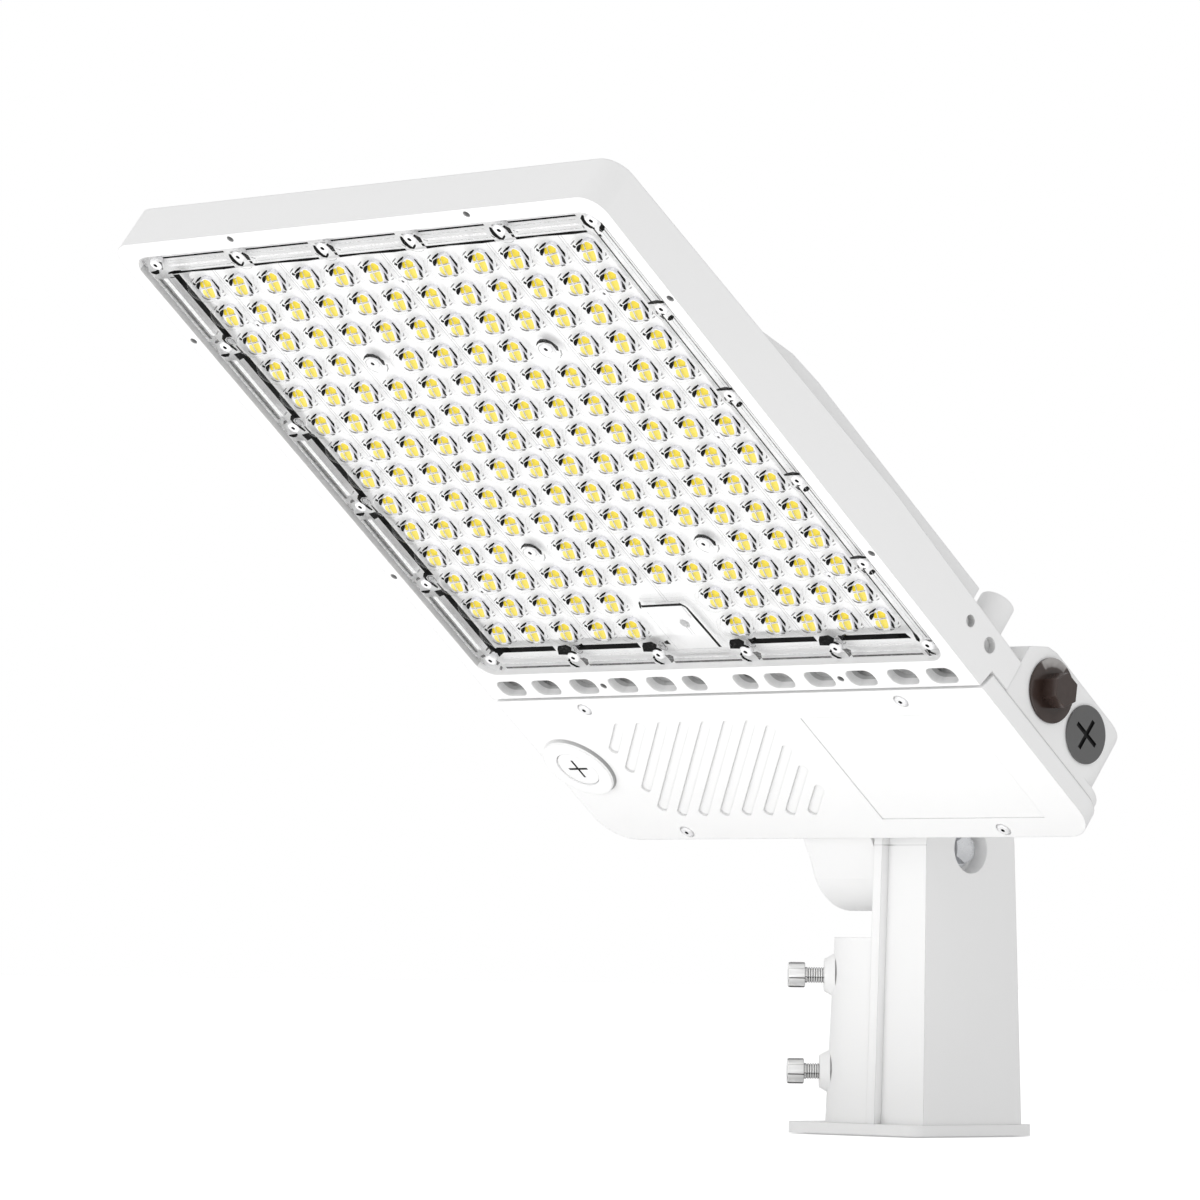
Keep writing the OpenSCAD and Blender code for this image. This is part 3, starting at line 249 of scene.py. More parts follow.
def boss_foot(coat, painted_shade):
    """Painted shadow: a dark line at the foot of the cover's round boss, darker towards the right."""
    x, y, z = head_waves(coat)
    across, along = x - BOSS_X * MM, y - BOSS_Y * MM
    away = (across * across + along * along).power(0.5)
    wall = between(away, BOSS_RADIUS - 0.6, BOSS_RADIUS + 0.6)
    # Painted shadow, growing darker towards the right.
    foot_shadow = (across * 16 + 0.42).larger(0.2)
    return painted_shade * 0.6 * (1 - wall * 0.7) + wall * z.above(BOSS_FOOT * MM) * foot_shadow


ROUND_TOP, ARM_FRONT = 146.8, -33.2


def parting_line(coat, painted_shade):
    """The open arm gets less painted shade, and a faint grey line is drawn where its round top begins."""
    x, y, z = coat.waves(coat.place())
    return painted_shade * 0.6 + near(z, ROUND_TOP, 0.3) * y.below(ARM_FRONT * MM) * 0.35


cast_coat = powder_coat("cast_powder_coat", pocket_and_vents)
cover_coat = powder_coat("cover_powder_coat", boss_foot)
arm_coat = powder_coat("arm_powder_coat", parting_line, 6.0)
print("made", cast_coat.name, cover_coat.name, arm_coat.name)

# %% [markdown]
# ## Metals
# Zinc-plated screws are bright but never perfect mirrors. Noise stretched along one direction
# gives the fine turning marks, and a second, coarser noise dulls some places.

# %% Plated steel, aluminium and brass
def plated(name, bright, dark, roughness=0.28, metallic=1.0):
    metal = Finish(name, Metallic=metallic)
    marks = metal.noise(400.0, 3.0, (1, 1, 6))
    metal.color(metal.tones(metal.noise(60.0), (0.3, dark), (0.7, bright)))
    metal.rough(roughness - 0.06 + marks * 0.14)
    metal.bump(marks, 0.00003, 0.12)
    return metal.material


zinc = plated("zinc_plate", (0.82, 0.83, 0.85), (0.66, 0.67, 0.69))
extruded = plated("drawn_aluminium", (0.86, 0.87, 0.88), (0.76, 0.77, 0.78), 0.4)
brass = plated("brass_screw", (0.86, 0.7, 0.36), (0.7, 0.55, 0.26), 0.3)
green_zinc = plated("green_screw", (0.12, 0.5, 0.22), (0.08, 0.38, 0.16), 0.4, 0.4)
print("made", zinc.name, extruded.name, brass.name, green_zinc.name)

# %% [markdown]
# ## Rubber and plastics
# Silicone seals are dull and dark, with a faint bloom. Moulded plastic has a fine spark-eroded
# texture and is a little shinier on its high spots.

# %% Seals and mouldings
def moulded(name, light, dark, roughness=0.45):
    plastic = Finish(name)
    fine = plastic.noise(700.0)
    plastic.color(plastic.tones(plastic.noise(35.0, 3.0), (0.3, dark), (0.7, light)))
    plastic.rough(roughness - 0.05 + fine * 0.12)
    plastic.bump(fine, 0.00004, 0.35)
    return plastic.material


seal_black = moulded("black_silicone", 0.03, 0.018, 0.55)
black_moulding = moulded("black_moulding", 0.05, 0.03)
pale_seal = moulded("pale_silicone", 0.72, 0.66, 0.5)
white_moulding = moulded("white_moulding", 0.92, 0.9, 0.4)
cream_moulding = moulded("cream_moulding", (0.88, 0.85, 0.76), (0.84, 0.8, 0.7))
orange_sensor = moulded("sensor_face", (0.62, 0.28, 0.12), (0.5, 0.2, 0.08), 0.25)
print("made the seals and mouldings")

# %% [markdown]
# ## Floor, light and camera
# A catalogue picture has light from everywhere. A white world and three soft lamps give
# that, and a pale floor under the flange catches what shadow there is. The camera stands where
# the photographer's did: low, in front and to the right, with a long lens.

# %% Studio
def add_object(name, data):
    thing = bpy.data.objects.new(name, data)
    bpy.context.scene.collection.objects.link(thing)
    return thing


CAMERA_PLACE = Vector((2234.361, -2458.1, 80.442)) * MM
CAMERA_RIGHT = Vector((0.70679, 0.70728, 0.01396)).normalized()
CAMERA_FORWARD = Vector((-0.706753, 0.705126, 0.057437)).normalized()
FOCAL_LENGTH, FILM_WIDTH = 193.968, 36.0
WHITE = (1, 1, 1, 1)


def camera_from_photo():
    data = bpy.data.cameras.new("camera")
    data.lens = FOCAL_LENGTH
    data.sensor_width = FILM_WIDTH
    data.clip_end = 100
    camera = add_object("camera", data)
    turn = Matrix((CAMERA_RIGHT, CAMERA_RIGHT.cross(CAMERA_FORWARD), -CAMERA_FORWARD)).transposed()
    camera.matrix_world = Matrix.Translation(CAMERA_PLACE) @ turn.to_4x4()
    bpy.context.scene.camera = camera
    return camera


def soft_lamp(name, place, aim, size, watts):
    data = bpy.data.lights.new(name, "AREA")
    data.size = size
    data.energy = watts
    lamp = add_object(name, data)
    lamp.location = place
    lamp.visible_camera = False
    lamp.rotation_euler = (Vector(aim) - Vector(place)).to_track_quat("-Z", "Y").to_euler()


camera = camera_from_photo()
soft_lamp("low_front", (-0.3, -1.9, 0.12), (0, -0.25, 0.3), 1.0, 5.6)
soft_lamp("floor_fill", (0.05, -0.88, 0.01), (0.05, -0.879, 1.0), 1.5, 4.9)
soft_lamp("right_low", (1.2, -0.3, 0.03), (0.03, 0, 0.05), 0.5, 0.45)

world = bpy.data.worlds.new("studio")
bpy.context.scene.world = world
world.use_nodes = True
sky = Tree(world.node_tree)
lighting = world.node_tree.nodes["Background"]
lighting.inputs["Color"].default_value = WHITE
lighting.inputs["Strength"].default_value = 0.76
seen = sky.node("ShaderNodeBackground", Color=WHITE, Strength=1.0)
path = sky.node("ShaderNodeLightPath").outputs
looked_at = sky.wave(path["Is Camera Ray"]).larger(sky.wave(path["Is Transmission Ray"]))
blend = sky.node("ShaderNodeMixShader", _0=looked_at, _1=lighting.outputs[0], _2=seen.outputs[0])
sky.feed(world.node_tree.nodes["World Output"].inputs[0], blend.outputs[0])

FLOOR_REACH, FLOOR_HEIGHT = 30, -0.0006
floor_mesh = bpy.data.meshes.new("floor")
floor_mesh.from_pydata([(x * FLOOR_REACH, y * FLOOR_REACH, FLOOR_HEIGHT)
                        for x, y in ((-1, -1), (1, -1), (1, 1), (-1, 1))], [], [(0, 1, 2, 3)])
floor = add_object("floor", floor_mesh)
floor_white = Finish("floor_white", Roughness=0.9, Emission_Color=WHITE)
floor_white.color(floor_white.tones(floor_white.noise(3.0), (0.3, 0.84), (0.7, 0.86)))
seen_floor = floor_white.wave(floor_white.node("ShaderNodeLightPath").outputs["Is Camera Ray"])
floor_white.feed(floor_white.shader.inputs["Emission Strength"], seen_floor * 0.45)
floor_mesh.materials.append(floor_white.material)
bpy.context.scene.view_settings.view_transform = "Standard"
print("camera at", tuple(round(v, 3) for v in camera.location))

# %% [markdown]
# ## Castings
# The castings' solids are right as they are but come in as loose triangles, which shade badly.
# A copy is welded, its flat areas keep one direction, and only real edges stay sharp, so that
# the coat's rounded edges show as thin bright lines.

# %% Welded copies
def smooth_but_sharp(mesh, angle):
    for polygon in mesh.polygons:
        polygon.use_smooth = True
    mesh.set_sharp_from_angle(angle=math.radians(angle))


WELD, CAST_ANGLE = 1e-6, 32


def cast_copy(node, material):
    mesh = frame["nodes"][node].data.copy()
    mesh.name = node + "_cast"
    shape = bmesh.new()
    shape.from_mesh(mesh)
    bmesh.ops.remove_doubles(shape, verts=shape.verts, dist=WELD)
    shape.to_mesh(mesh)
    shape.free()
    if "custom_normal" in mesh.attributes:
        mesh.attributes.remove(mesh.attributes["custom_normal"])
    mesh.materials.clear()
    mesh.materials.append(material)
    smooth_but_sharp(mesh, CAST_ANGLE)
    piece = add_object(node + "_cast", mesh)
    piece.modifiers.new("flat_faces_lead", "WEIGHTED_NORMAL").keep_sharp = True
    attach(piece, next(b for b, names in frame["record"]["behaviour"]["bodies"].items() if node in names))
    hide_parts(node)
    return piece


for casting, coat in (("housing", cast_coat), ("driver_cover", cover_coat), ("mounting_arm", arm_coat)):
    print("copied", cast_copy(casting, coat).name)

# %% [markdown]
# ## Marks and ribbons
# Clear plastic shows as dark and pale streaks: bent images of its own edges. Here they are
# painted reflections, drawn as thin flat shapes just above the plate, each with a number called
# tone, which the material turns into black, grey or white. A ribbon is a bent line with a width at
# each point.

# %% Flat shapes with a tone
def ribbon(points, widths, tone):
    """Quads along a line of (x, y) points, as wide at each point as widths says."""
    if not isinstance(widths, list):
        widths = [widths] * len(points)
    sides = []
    for i, (x, y) in enumerate(points):
        ahead, behind = points[min(i + 1, len(points) - 1)], points[max(i - 1, 0)]
        along = Vector((ahead[0] - behind[0], ahead[1] - behind[1])).normalized()
        across = Vector((-along.y, along.x)) * widths[i] / 2
        sides.append(((x + across.x, y + across.y), (x - across.x, y - across.y)))
    return [([a[0], b[0], b[1], a[1]], tone) for a, b in zip(sides, sides[1:])]


def drawn(*rows):
    """Marks from rows: a ribbon's points, widths and tone, or an outline's points and tone."""
    return [mark for row in rows for mark in (ribbon(*row) if len(row) == 3 else [row])]


def arc(centre, radius, start, stop, steps=8):
    turns = [math.radians(start + (stop - start) * i / steps) for i in range(steps + 1)]
    return [(centre[0] + radius * math.cos(turn), centre[1] + radius * math.sin(turn)) for turn in turns]


def moved(marks, dx, dy):
    return [([(x + dx, y + dy) for x, y in points], tone) for points, tone in marks]


def flat_mesh(name, marks, height, shift):
    """Marks as one mesh in the head's millimetres, facing out of the lamp, with their tones."""
    corners, faces, tones = [], [], []
    for points, tone in moved(marks, *shift):
        area = sum(a[0] * b[1] - b[0] * a[1] for a, b in zip(points, points[1:] + points[:1]))
        faces.append(tuple(range(len(corners), len(corners) + len(points))))
        corners += [(x, y, height) for x, y in (points if area < 0 else points[::-1])]
        tones += [tone] * len(points)
    mesh = bpy.data.meshes.new(name)
    mesh.from_pydata(corners, [], faces)
    mesh.attributes.new("tone", "FLOAT", "POINT").data.foreach_set("value", tones)
    return mesh


print("ribbon of", len(ribbon([(0, 0), (1, 0), (2, 1)], 0.5, 0)), "quads")

# %% [markdown]
# ## Rings into shapes
# Round pieces and blocks with rounded corners are stacks of rings: a ring is a loop of points
# at one height, and quads join each ring to the next. The Bevel and Screw modifiers could make
# some of them, but rings give each height its own outline and its own tone.

# %% Stacks of rings
def stack(shape, rings, start=True, end=True):
    """Joins rings with the same number of points and closes the first and the last."""
    loops = [[shape.verts.new(point) for point in ring] for ring in rings]
    for low, high in zip(loops, loops[1:]):
        for i in range(len(low)):
            j = (i + 1) % len(low)
            shape.faces.new((low[i], high[i], high[j], low[j]))
    for wanted, loop in ((start, loops[0]), (end, loops[-1])):
        if wanted:
            shape.faces.new(loop)
    return loops


def circle(radius, height, sides, knurl=0.0):
    """A ring of points, where every second one stands back by knurl."""
    ring = []
    for i in range(sides):
        turn, out = 2 * math.pi * i / sides, radius - knurl * (i % 2)
        ring.append((out * math.cos(turn), out * math.sin(turn), height))
    return ring


def made_mesh(name, shape, tones=None, angle=40, outwards=True):
    if outwards:
        bmesh.ops.recalc_face_normals(shape, faces=shape.faces)
    mesh = bpy.data.meshes.new(name)
    shape.to_mesh(mesh)
    shape.free()
    if tones:
        mesh.attributes.new("tone", "FLOAT", "POINT").data.foreach_set("value", tones)
    smooth_but_sharp(mesh, angle)
    return mesh


print("a ring of", len(circle(1.0, 0.0, 16)), "points")

# %% [markdown]
# ## One rule for everything that repeats
# 160 lenses, LEDs and two dozen screws repeat one shape at many places. A small Geometry Nodes
# tree does it: it puts the shape on every point of a mesh, makes the copies real and gives
# them their finish. The result is kept as a plain mesh, moved to its place on the lamp.

# %% The scatter tree
def scatter_tree():
    group = bpy.data.node_groups.new("shape_on_places", "GeometryNodeTree")
    ends = [group.interface.new_socket(name, in_out=way, socket_type="NodeSocket" + kind)
            for name, way, kind in (("Places", "INPUT", "Geometry"), ("Shape", "INPUT", "Object"),
                                    ("Finish", "INPUT", "Material"), ("Copies", "OUTPUT", "Geometry"))]
    rule = Tree(group)
    given = rule.node("NodeGroupInput").outputs
    shape = rule.node("GeometryNodeObjectInfo", Object=given["Shape"]).outputs["Geometry"]
    copies = rule.node("GeometryNodeInstanceOnPoints", Points=given["Places"], Instance=shape)
    real = rule.node("GeometryNodeRealizeInstances", Geometry=copies.outputs[0])
    paint = rule.node("GeometryNodeSetMaterial", Geometry=real.outputs[0], Material=given["Finish"])
    rule.node("NodeGroupOutput", _0=paint.outputs[0])
    return group, ends[1].identifier, ends[2].identifier


SCATTER, SHAPE, FINISH = scatter_tree()


def keep_piece(name, mesh, body, to_model, replaces=()):
    """Puts a finished mesh in its place on the model and makes it ride on its body."""
    mesh.transform(to_model)
    mesh.name = name
    piece = add_object(name, mesh)
    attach(piece, body)
    if replaces:
        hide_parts(*replaces)
    return piece


def scatter(name, shape_mesh, places, material, body="head", to_model=head_to_model, replaces=()):
    points = bpy.data.meshes.new(name + "_places")
    points.from_pydata(places, [], [])
    carrier = add_object(name + "_places", points)
    shape = add_object(name + "_shape", shape_mesh)
    rule = carrier.modifiers.new("copies", "NODES")
    rule.node_group = SCATTER
    rule[SHAPE] = shape
    rule[FINISH] = material
    made = bpy.data.meshes.new_from_object(carrier.evaluated_get(bpy.context.evaluated_depsgraph_get()))
    for helper in (carrier, shape):
        bpy.data.objects.remove(helper)
    return keep_piece(name, made, body, to_model, replaces)


print("tree with", len(SCATTER.nodes), "nodes")

# %% [markdown]
# ## Where the LEDs and screws are
# The panel is a grid of 12 by 14 places. Four are taken by the screws that hold the middle of
# the plate, and four by the window over the board's connector.

# %% Places on the panel
COLUMNS, ROWS, COLUMN_PITCH, ROW_PITCH = 12, 14, 24.0, 19.8
SCREW_COLUMNS, SCREW_ROWS = (3, 8), (3, 10)
EDGE_X, EDGE_Y = 151.0, 147.8
SHARES = (-1, -0.6, -0.2, 0.2, 0.6, 1)


def grid(column, row):
    across, along = column - (COLUMNS - 1) / 2, row - (ROWS - 1) / 2
    return (across * COLUMN_PITCH, PANEL_MIDDLE + along * ROW_PITCH, 0)


def holds_led(column, row):
    at_screw = column in SCREW_COLUMNS and row in SCREW_ROWS
    at_window = column in (5, 6) and row >= 12
    return not at_screw and not at_window


lens_places = [grid(c, r) for r in range(ROWS) for c in range(COLUMNS) if holds_led(c, r)]
centre_places = [grid(c, r) for r in SCREW_ROWS for c in SCREW_COLUMNS]
x_stops = [s * EDGE_X for s in SHARES]
y_stops = [PANEL_MIDDLE + s * EDGE_Y for s in SHARES]
edge_sides = {
    "front": [(x, PANEL_MIDDLE - EDGE_Y) for x in x_stops[1:-1]],
    "rear": [(x, PANEL_MIDDLE + EDGE_Y) for x in x_stops[1:-1]],
    "left": [(-EDGE_X, y) for y in y_stops[1:-1]],
    "right": [(EDGE_X, y) for y in y_stops[1:-1]],
    "corners": [(sx * EDGE_X, PANEL_MIDDLE + sy * EDGE_Y) for sx in (-1, 1) for sy in (-1, 1)]}
edge_places = [(x, y, 0) for side in edge_sides.values() for x, y in side]
print(len(lens_places), "lenses,", len(edge_places), "edge screws,", len(centre_places), "centre screws")

# %% [markdown]
# ## Clear plastic, yellow phosphor and streaks
# The plate is polycarbonate, so light goes straight through it and only its edges show. A thin
# film with a low alpha does that without noise: seen flat on it is nearly invisible, and at a
# glancing angle it turns into a pale shine. The streak material reads the tone of each mark,
# and the phosphor reads it too, because each chip looks a little different through its lens.

# %% Finishes of the panel
def clear_film(name, edge_alpha, shade, power=3.0):
    film = Finish(name, Roughness=0.08, IOR=1.45)
    slant = film.wave(film.node("ShaderNodeLayerWeight", Blend=0.5).outputs["Facing"])
    haze = film.noise(40.0)
    film.color(film.tones(haze, (0.3, shade), (0.7, shade + 0.04)))
    film.feed(film.shader.inputs["Alpha"], slant.power(power) * edge_alpha + haze * 0.008)
    return film.material


def toned(name, stops, roughness, grain=900.0, flecks=0.12, shine=0.05, metallic=0.0, mottle=0.0):
    """Turns each spot's tone into a colour, with flecks all over and mottle at the middle tones."""
    mark = Finish(name, Specular_IOR_Level=shine, Metallic=metallic)
    tone = mark.mark_tone()
    fleck = mark.noise(grain, 3.0)
    strength = tone * (1 - tone) * mottle + flecks
    mark.color(mark.tones(tone + (fleck - 0.5) * strength, *stops))
    mark.rough(roughness + fleck * 0.1)
    return mark.material


clear_plate = clear_film("clear_plate", 0.12, 0.92)
clear_dome = clear_film("clear_dome", 0.34, 0.84, 5.0)
# Painted reflections and shade: the streak material turns each mark's tone into black, grey or white; it
# also draws the real black seal in the border.
streak = toned("lens_streaks", ((0.0, 0.001), (0.16, 0.004), (0.5, 0.16), (1.0, 0.92)), 0.5, mottle=3.0)
phosphor = toned("phosphor", ((0.0, (0.88, 0.66, 0.002)), (0.5, (0.88, 0.7, 0.07)),
                              (1.0, (0.9, 0.77, 0.19))), 0.45, 500.0)
package = moulded("led_package", (0.9, 0.9, 0.93), (0.83, 0.83, 0.87), 0.5)
print("made", clear_plate.name, clear_dome.name, streak.name, phosphor.name)

# %% [markdown]
# ## The LED board
# The white board is printed in six strips, so faint double lines run between some columns. Its
# material draws them: the distance from each seam, across the head, is a sum on the Object
# coordinates.

# %% Board with seams
SEAMS, SEAM_HALF, SEAM_LINE = (-120, -72, 0, 72, 120), 0.9, 0.22
board_white = Finish("board_white", Specular_IOR_Level=0.3)
across = board_white.waves(board_white.place())[0]


def double_line(x):
    return near(abs(across - x * MM), SEAM_HALF, SEAM_LINE)


seam = double_line(SEAMS[0])
for seam_x in SEAMS[1:]:
    seam = seam.larger(double_line(seam_x))
board_cloud = board_white.noise(30.0)
board_white.color(board_white.tones(seam * 0.6 + board_cloud * 0.1, (0.0, 0.95), (0.1, 0.93), (0.7, 0.55)))
board_white.rough(0.5 + board_cloud * 0.08)
print("board seams drawn:", len(SEAMS))

# %% [markdown]
# ## LEDs as their lenses show them
# Each LED is a small package with four yellow cells. The lens bends and enlarges that picture,
# so the cells are drawn in the shape in which they are seen, on a low white block under the
# dome.

# %% Packages and cells
LED_TOP, LED_FOOT = -22.8, -20.65
DOWN_TO_LED = (-1.76, 1.28)
cell_marks = drawn(
    ([(1.5, 0.15), (3.6, -0.3), (6.1, -0.7), (5.7, 0.9), (4.7, 3.2), (3.5, 5.3), (2.3, 6.1), (0.1, 6.1),
      (0.2, 4.6), (0.7, 2.4)], 0.75),
    ([(-2, 0.9), (-0.9, 0.2), (0.35, 0.1), (-0.2, 2.4), (-0.9, 4.4), (-1.1, 5.9), (-2.3, 6), (-3.1, 4.8),
      (-3, 2.6)], 0.95),
    ([(3.4, -4.9), (4.4, -6), (5.9, -6.5), (7.1, -5.9), (8.1, -4.1), (7.3, -3), (6.5, -1.7), (4.2, -1.5),
      (2, -1.3), (2.8, -3)], 0.45),
    ([(-1.1, -1.2), (-0.4, -2.9), (0.6, -4.3), (1.8, -5.2), (3, -5.4), (2.3, -3.6), (1.3, -1.6),
      (0.2, -1.2)], 0.05), ([(-2, -4.7), (-1.3, -5.9), (-0.5, -6.1), (-0.9, -5.2)], 0.1))
package_outline = [
    (-3.9, 4.4), (-3.6, 1.2), (-2, -1.4), (0, -4.8), (2.4, -6.2), (5.8, -7.2), (7.8, -6.4), (8.9, -4.1),
    (7.9, -1.2), (6.6, 1.8), (5.2, 4.8), (3.6, 6.8), (1, 7.3), (-2.2, 7.1)]
block = bmesh.new()
stack(block, [[(x + DOWN_TO_LED[0], y + DOWN_TO_LED[1], height) for x, y in package_outline[::-1]]
              for height in (LED_FOOT, LED_TOP + 0.05)], start=False)
scatter("led_packages", made_mesh("package", block, angle=0), lens_places, package,
        replaces=("led_chips",))
cells = scatter("led_cells", flat_mesh("cells", cell_marks, LED_TOP, DOWN_TO_LED), lens_places, phosphor)
print("cells:", len(cells.data.polygons))

# %% [markdown]
# ## Clear lenses with their streaks
# A lens is an oblong dome. Light from the room bends in its wall and leaves a black bar on the
# right, a forked black streak at the top left and pale arcs round the foot. This bent light is
# painted: one set of marks, drawn once, goes under each dome.

# %% Domes and streaks
DOME_SIDES, DOME_SIZE = 18, (10.0, 8.2, 4.9, 1)


def dome_mesh():
    shape = bmesh.new()
    profile = ((1.0, 0.0), (0.97, -0.3), (0.84, -0.62), (0.56, -0.88), (0.24, -0.985))
    rim = stack(shape, [circle(radius, height, DOME_SIDES) for radius, height in profile], False, False)[-1]
    top = shape.verts.new((0, 0, -1.0))
    for i in range(DOME_SIDES):
        shape.faces.new((rim[i], top, rim[(i + 1) % DOME_SIDES]))
    mesh = made_mesh("dome", shape)
    mesh.transform(Matrix.Translation((0, 0, PLATE_TOP)) @ Matrix.Diagonal(DOME_SIZE))
    return mesh


# Painted light: the black bars and pale arcs that the dome's bent light makes.
painted_dome_light_marks = drawn(
    ([(-4.1, -0.4), (-3.1, -1.9), (-1.7, -3.1), (-0.3, -4.1), (1, -4.8)], [1, 1.9, 2, 1.3, 0.5], 0),
    ([(-4.6, -3.3), (-3.2, -4.6)], [1.4, 1.8], 0.16),
    ([(-2.3, -4.7), (-0.5, -5.7), (1.9, -6.8), (4.7, -8.2)], [0.6, 0.9, 1.2, 0.6], 0.05),
    ([(-5.2, -5.3), (-3, -6.6), (-0.8, -7.8)], [0.3, 0.7, 0.4], 0.5),
    ([(-9.1, -0.2), (-7.3, -2.4), (-5.4, -4.7)], [0.3, 0.6, 0.4], 0.88),
    ([(10.6, -6), (10.6, -3), (10.5, -0.6), (9.7, 1.7)], [0.9, 1.3, 1.8, 0.5], 0.04),
    ([(12.3, 1.6), (11.7, 2.8), (10.4, 3.7)], [0.3, 0.9, 0.3], 0.6),
    ([(11.9, 4.6), (10.4, 5.4), (9, 5.9)], [0.3, 0.7, 0.3], 0.65),
    ([(-5.5, 4.2), (-5.1, 5.9), (-3.6, 6.9), (-1.5, 7.1)], [0.4, 1.2, 1.2, 0.6], 0.5),
    ([(-1.5, 7.1), (1, 7.2), (3, 6.9)], [0.6, 0.5, 0.7], 0.8),
    ([(8.1, 0.8), (7.5, 3), (6.4, 5)], [0.4, 1.5, 1.7], 0.2), ([(6.9, 4.6), (6.2, 6.1)], [1.4, 1.4], 0.02),
    ([(5.9, 6.6), (4.4, 7.1), (3, 7)], [0.8, 1.1, 0.9], 0.5), ([(7.9, -7.4), (9.3, -7.4)], 0.9, 0.88),
    ([(6.9, -1.25), (4.1, -0.9), (1.7, -0.6)], 0.5, 0.62),
    ([(1.2, -0.55), (0, -0.5), (-1.7, -0.3)], 0.5, 0.62),
    ([(1, 0.1), (0.25, 2.4), (-0.4, 4.5), (-0.6, 6)], 0.5, 0.66),
    ([(1.7, -1.5), (2.5, -3.3), (3.3, -5.4)], 0.5, 0.66),
    ([(-9.5, 0.2), (-9.3, 3), (-8.4, 5.2)], [0.3, 0.5, 0.2], 0.92))
painted_dome_light_mesh = flat_mesh("streaks", painted_dome_light_marks, PLATE_TOP - 0.1, (-0.3, 0.2))
scatter("lens_streaks", painted_dome_light_mesh, lens_places, streak)
domes = scatter("lens_domes", dome_mesh(), lens_places, clear_dome)
print("domes:", len(domes.data.polygons), "faces")

# %% [markdown]
# ## The plate and its border
# The plate is a flat sheet with raised bars between the edge screws, a round boss at each
# screw of the middle and a raised window over the connector. Its border is where the dark seal
# and the pocket's edges show through as long lines.

# %% Plate, bars, bosses and window
CORNER_STEPS = 5


def rounded_outline(width, length, radius):
    points = []
    for k, (sx, sy) in enumerate(((1, 1), (-1, 1), (-1, -1), (1, -1))):
        middle_x, middle_y = sx * (width / 2 - radius), sy * (length / 2 - radius)
        for i in range(CORNER_STEPS + 1):
            turn = math.radians(90 * k + 90 * i / CORNER_STEPS)
            points.append((middle_x + radius * math.cos(turn), middle_y + radius * math.sin(turn)))
    return points


def raised(shape, centre, width, length, radius, low, high, inset):
    """A low block with rounded corners and a sloping edge all round, open where it stands on the plate."""
    rings = []
    for shrink, height in ((0, low), (0, high + inset * 0.5), (inset * 0.6, high)):
        outline = rounded_outline(width - 2 * shrink, length - 2 * shrink, max(radius - shrink, 0.3))
        rings.append([(centre[0] + x, centre[1] + y, height) for x, y in outline])
    return stack(shape, rings, start=False)


SHEET_WIDTH, SHEET_LENGTH, SHEET_CORNER, SHEET_THICK = 319.6, 311.6, 9.8, 2.0
BAR_LENGTH, BAR_WIDTH, BAR_CORNER, BAR_TOP = 49.0, 7.0, 2.4, PLATE_TOP - 1.6
WINDOW_WIDTH, WINDOW_LENGTH, WINDOW_CORNER = 41.0, 45.0, 3.0
WINDOW_Y, WINDOW_TOP = -203.0, PLATE_TOP - 1.4
WELL_WIDTH, WELL_CORNER = 14.0, 6.9

plate = bmesh.new()
sheet = raised(plate, (0, PANEL_MIDDLE), SHEET_WIDTH, SHEET_LENGTH, SHEET_CORNER,
               PLATE_TOP + SHEET_THICK, PLATE_TOP, 0.4)
plate.faces.new(sheet[0][::-1])
for s in (-0.8, -0.4, 0, 0.4, 0.8):
    for side in (-1, 1):
        raised(plate, (s * EDGE_X, PANEL_MIDDLE + side * EDGE_Y), BAR_LENGTH, BAR_WIDTH, BAR_CORNER,
               PLATE_TOP, BAR_TOP, 1.0)
        raised(plate, (side * EDGE_X, PANEL_MIDDLE + s * EDGE_Y), BAR_WIDTH, BAR_LENGTH, BAR_CORNER,
               PLATE_TOP, BAR_TOP, 1.0)
raised(plate, (0, WINDOW_Y), WINDOW_WIDTH, WINDOW_LENGTH, WINDOW_CORNER, PLATE_TOP, WINDOW_TOP, 0.8)
for x, y, z in centre_places:
    raised(plate, (x, y), WELL_WIDTH, WELL_WIDTH, WELL_CORNER, PLATE_TOP, BAR_TOP, 1.4)
plate_mesh = bpy.data.meshes.new("lens_sheet")
plate.to_mesh(plate_mesh)
plate.free()
plate_mesh.materials.append(clear_plate)
keep_piece("lens_sheet", plate_mesh, "head", head_to_model, ("lens_plate",))
print("plate faces:", len(plate_mesh.polygons))

# %% [markdown]
# ## Lines in the border
# On the left and rear sides the black seal shows at its full width, and it steps inwards round
# each screw. At the front and right the plate's wall hides most of it, so only a thin line
# is left. The grey and pale lines beside it are painted shade on the pocket's wall and painted
# reflections in the plate's bars.

# %% Border lines
def gaps(stops, after, before):
    """The stretches between neighbouring screws of one side, a little short of each."""
    return [(a + after, b - before) for a, b in zip(stops, stops[1:])]


def lines(rows, low, high, upright):
    """Lines along one gap; a row has its place, how far it passes each end, its width and its tone."""
    made = []
    for place, before, after, width, tone in rows:
        ends = [(place, low - before), (place, high + after)]
        made += ribbon(ends if upright else [(along, across) for across, along in ends], width, tone)
    return made


